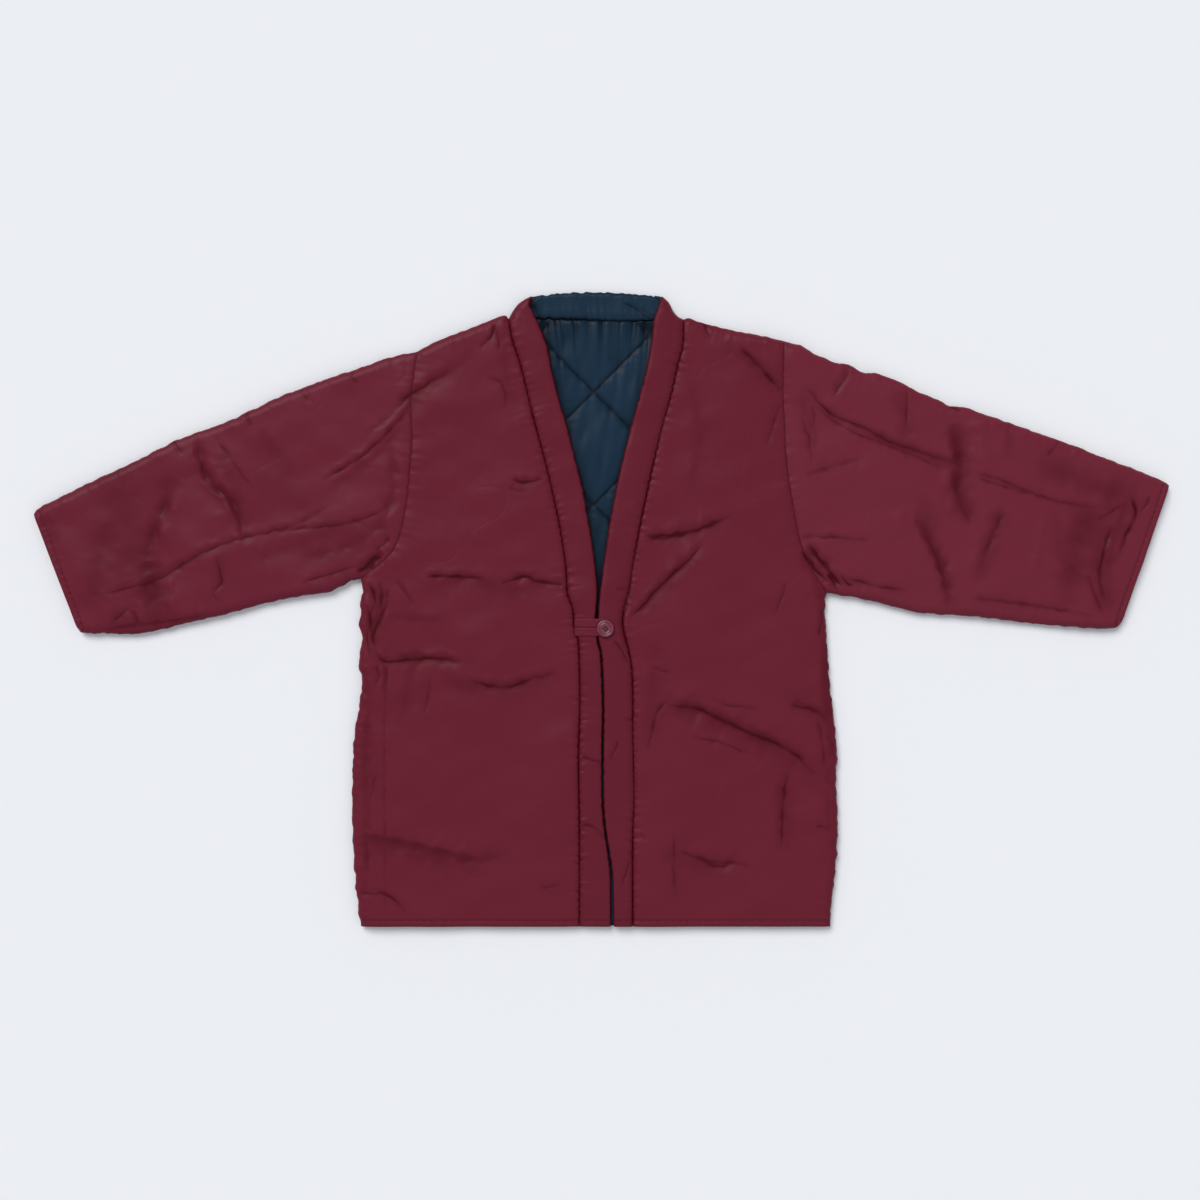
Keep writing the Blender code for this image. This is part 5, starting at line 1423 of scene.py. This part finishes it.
def stitchTree():
    tree = bpy.data.node_groups.new("stitchRow", "GeometryNodeTree")
    tree.interface.new_socket("Geometry", in_out="INPUT", socket_type="NodeSocketGeometry")
    for label in ("Pitch", "Length", "Thread radius", "Arch"):
        tree.interface.new_socket(label, in_out="INPUT", socket_type="NodeSocketFloat")
    tree.interface.new_socket("Seed", in_out="INPUT", socket_type="NodeSocketInt")
    tree.interface.new_socket("Material", in_out="INPUT", socket_type="NodeSocketMaterial")
    tree.interface.new_socket("Geometry", in_out="OUTPUT", socket_type="NodeSocketGeometry")
    start, end = tree.nodes.new("NodeGroupInput"), tree.nodes.new("NodeGroupOutput")
    given = start.outputs
    rows = addNode(tree, "GeometryNodeMeshToCurve", {"Mesh": given["Geometry"]})
    spaced = addNode(tree, "GeometryNodeResampleCurve", {"Curve": rows.outputs[0], "Length": given["Pitch"]}, mode="LENGTH")
    half = mathNode(tree, "MULTIPLY", given["Length"], 0.5)
    first = addNode(tree, "ShaderNodeCombineXYZ", {"X": mathNode(tree, "MULTIPLY", half, -1.0), "Z": mathNode(tree, "MULTIPLY", given["Arch"], -1.0)})
    middle = addNode(tree, "ShaderNodeCombineXYZ", {"Z": given["Arch"]})
    last = addNode(tree, "ShaderNodeCombineXYZ", {"X": half, "Z": mathNode(tree, "MULTIPLY", given["Arch"], -1.0)})
    bow = addNode(tree, "GeometryNodeCurveQuadraticBezier", {"Start": first.outputs[0], "Middle": middle.outputs[0], "End": last.outputs[0]}, Resolution=4)
    round_ = addNode(tree, "GeometryNodeCurvePrimitiveCircle", {"Radius": given["Thread radius"]}, Resolution=5)
    thread = addNode(tree, "GeometryNodeCurveToMesh", {"Curve": bow.outputs[0], "Profile Curve": round_.outputs[0]}, Fill_Caps=True)
    tangent = tree.nodes.new("GeometryNodeInputTangent")
    turn = addNode(tree, "FunctionNodeAlignRotationToVector", {"Vector": tangent.outputs[0]}, axis="X", pivot_axis="Z")
    size = tree.nodes.new("FunctionNodeRandomValue")
    size.data_type = "FLOAT"
    tree.links.new(given["Seed"], size.inputs["Seed"])
    spread = [socket for socket in size.inputs if socket.name in ("Min", "Max") and socket.type == "VALUE"]
    spread[0].default_value, spread[1].default_value = 0.86, 1.08
    sewn = addNode(tree, "GeometryNodeInstanceOnPoints", {"Points": spaced.outputs[0], "Instance": thread.outputs[0], "Rotation": turn.outputs[0]})
    tree.links.new([out for out in size.outputs if out.type == "VALUE" and out.enabled][0], sewn.inputs["Scale"])
    real = addNode(tree, "GeometryNodeRealizeInstances", {"Geometry": sewn.outputs[0]})
    smooth = addNode(tree, "GeometryNodeSetShadeSmooth", {"Geometry": real.outputs[0]})
    dyed = addNode(tree, "GeometryNodeSetMaterial", {"Geometry": smooth.outputs[0], "Material": given["Material"]})
    tree.links.new(dyed.outputs[0], end.inputs[0])
    return tree


stitchNodes = stitchTree()


def sew(name, rows, finish, look):
    verts, edges = [], []
    for row in rows:
        first = len(verts)
        verts += (row * mm).tolist()
        edges += [(first + i, first + i + 1) for i in range(len(row) - 1)]
    mesh = bpy.data.meshes.new(name)
    mesh.from_pydata(verts, edges, [])
    piece = bpy.data.objects.new(name, mesh)
    collection.objects.link(piece)
    sewing = piece.modifiers.new("sewing", "NODES")
    sewing.node_group = stitchNodes
    names = {item.name: item.identifier for item in stitchNodes.interface.items_tree if item.in_out == "INPUT"}
    sewing[names["Pitch"]] = look["pitch"] * mm
    sewing[names["Length"]] = look["length"] * mm
    sewing[names["Thread radius"]] = look["thread"] * mm
    sewing[names["Arch"]] = look["arch"] * mm
    sewing[names["Seed"]] = look["seed"]
    sewing[names["Material"]] = finish
    depsgraph = bpy.context.evaluated_depsgraph_get()
    sewn = bpy.data.meshes.new_from_object(piece.evaluated_get(depsgraph))
    piece.modifiers.clear()
    piece.data = sewn
    sewn.materials.clear()
    sewn.materials.append(finish)
    sewn.polygons.foreach_set("material_index", np.zeros(len(sewn.polygons), np.int32))
    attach(piece, "root")
    return piece


def onCloth(points, rows, crown=0.0, split=True):
    placed, _ = layer(np.array(points)[None], 0.0, True, split=split, crown=crown, rows=rows)
    placed = placed[0]
    placed[:, 2] += stitch["lift"]
    return placed


def hemRows():
    y = hemY + stitch["hemInset"]
    made = []
    for side, low, high in (("Right", -301.0, -31.0), ("Left", 43.0, 286.5)):
        x = np.arange(low, high, 1.2)
        made.append(onCloth(np.stack([x, np.full(len(x), y)], axis=1), creases["front" + side]))
    for low, high in ((-26.0, 10.6), (17.4, 37.6)):
        x = np.arange(low, high, 1.2)
        seamX, edgeX = (-28.2, 12.2) if low < 0 else (39.9, 15.6)
        crown = np.interp((x - seamX) / (edgeX - seamX), *zip(*bandPiece["crown"]))[None]
        made.append(onCloth(np.stack([x, np.full(len(x), y)], axis=1), (), crown))
    return made


def cuffRows():
    made = []
    for side in ("Right", "Left"):
        top, under = lines["sleeveTop" + side][-1], lines["sleeveUnder" + side][-1]
        run = (under - top) / np.linalg.norm(under - top)
        inward = np.array([-run[1], run[0]]) * (1 if side == "Right" else -1)
        inward *= stitch["hemInset"]
        shares = np.linspace(0.035, 0.955, 120)
        made.append(onCloth(straight(top + inward, under + inward, shares), creases["sleeve" + side], split=False))
    return made


def loopRows():
    made = []
    height = loop["base"] + loop["thick"] * 1.05 + 0.06
    middle = (loop["tape"] + cloth["gap"]) / 2
    for centre in (middle, -middle):
        for offset in (-0.36, 0.36):
            x = np.arange(loop["rootX"] + 2.5, -4.0, 0.8)
            y = np.full(len(x), loop["axisY"] + centre + offset * loop["tape"])
            made.append(np.stack([x, y, np.full(len(x), height)], axis=1))
    return made


def quiltRows():
    pitch = quilt["diagonal"] / math.sqrt(2)
    edges = [lines["bandEdgeTop" + side][::-1] for side in ("Right", "Left")]
    made = []
    for direction in (1, -1):
        for count in range(-4, 4):
            t = np.arange(-320.0, 320.0, 1.3)
            x = quilt["origin"][0] + (count * pitch + direction * t) / math.sqrt(2)
            y = quilt["origin"][1] + (direction * count * pitch - t) / math.sqrt(2)
            left = np.interp(y, edges[0][:, 1], edges[0][:, 0]) - 12
            right = np.interp(y, edges[1][:, 1], edges[1][:, 0]) + 12
            inside = (x > left) & (x < right) & (y > 50) & (y < 367)
            if inside.sum() < 6:
                continue
            points = np.stack([x[inside], y[inside]], axis=1)
            height, _ = quiltHeight(points)
            made.append(np.concatenate([points, height[:, None] + 0.05], axis=1))
    return made


seamStitches = sew("hemStitches", hemRows() + cuffRows(), maroonThread, stitch)
loopStitches = sew("loopStitches", loopRows(), maroonThread, {**stitch, "pitch": 2.6, "length": 2.0, "thread": 0.2})
quiltStitches = sew("quiltStitches", quiltRows(), navyThread, {**stitch, "pitch": 3.0, "length": 2.3, "thread": 0.22})
print("stitches sewn:", [len(piece.data.polygons) for piece in (seamStitches, loopStitches, quiltStitches)])
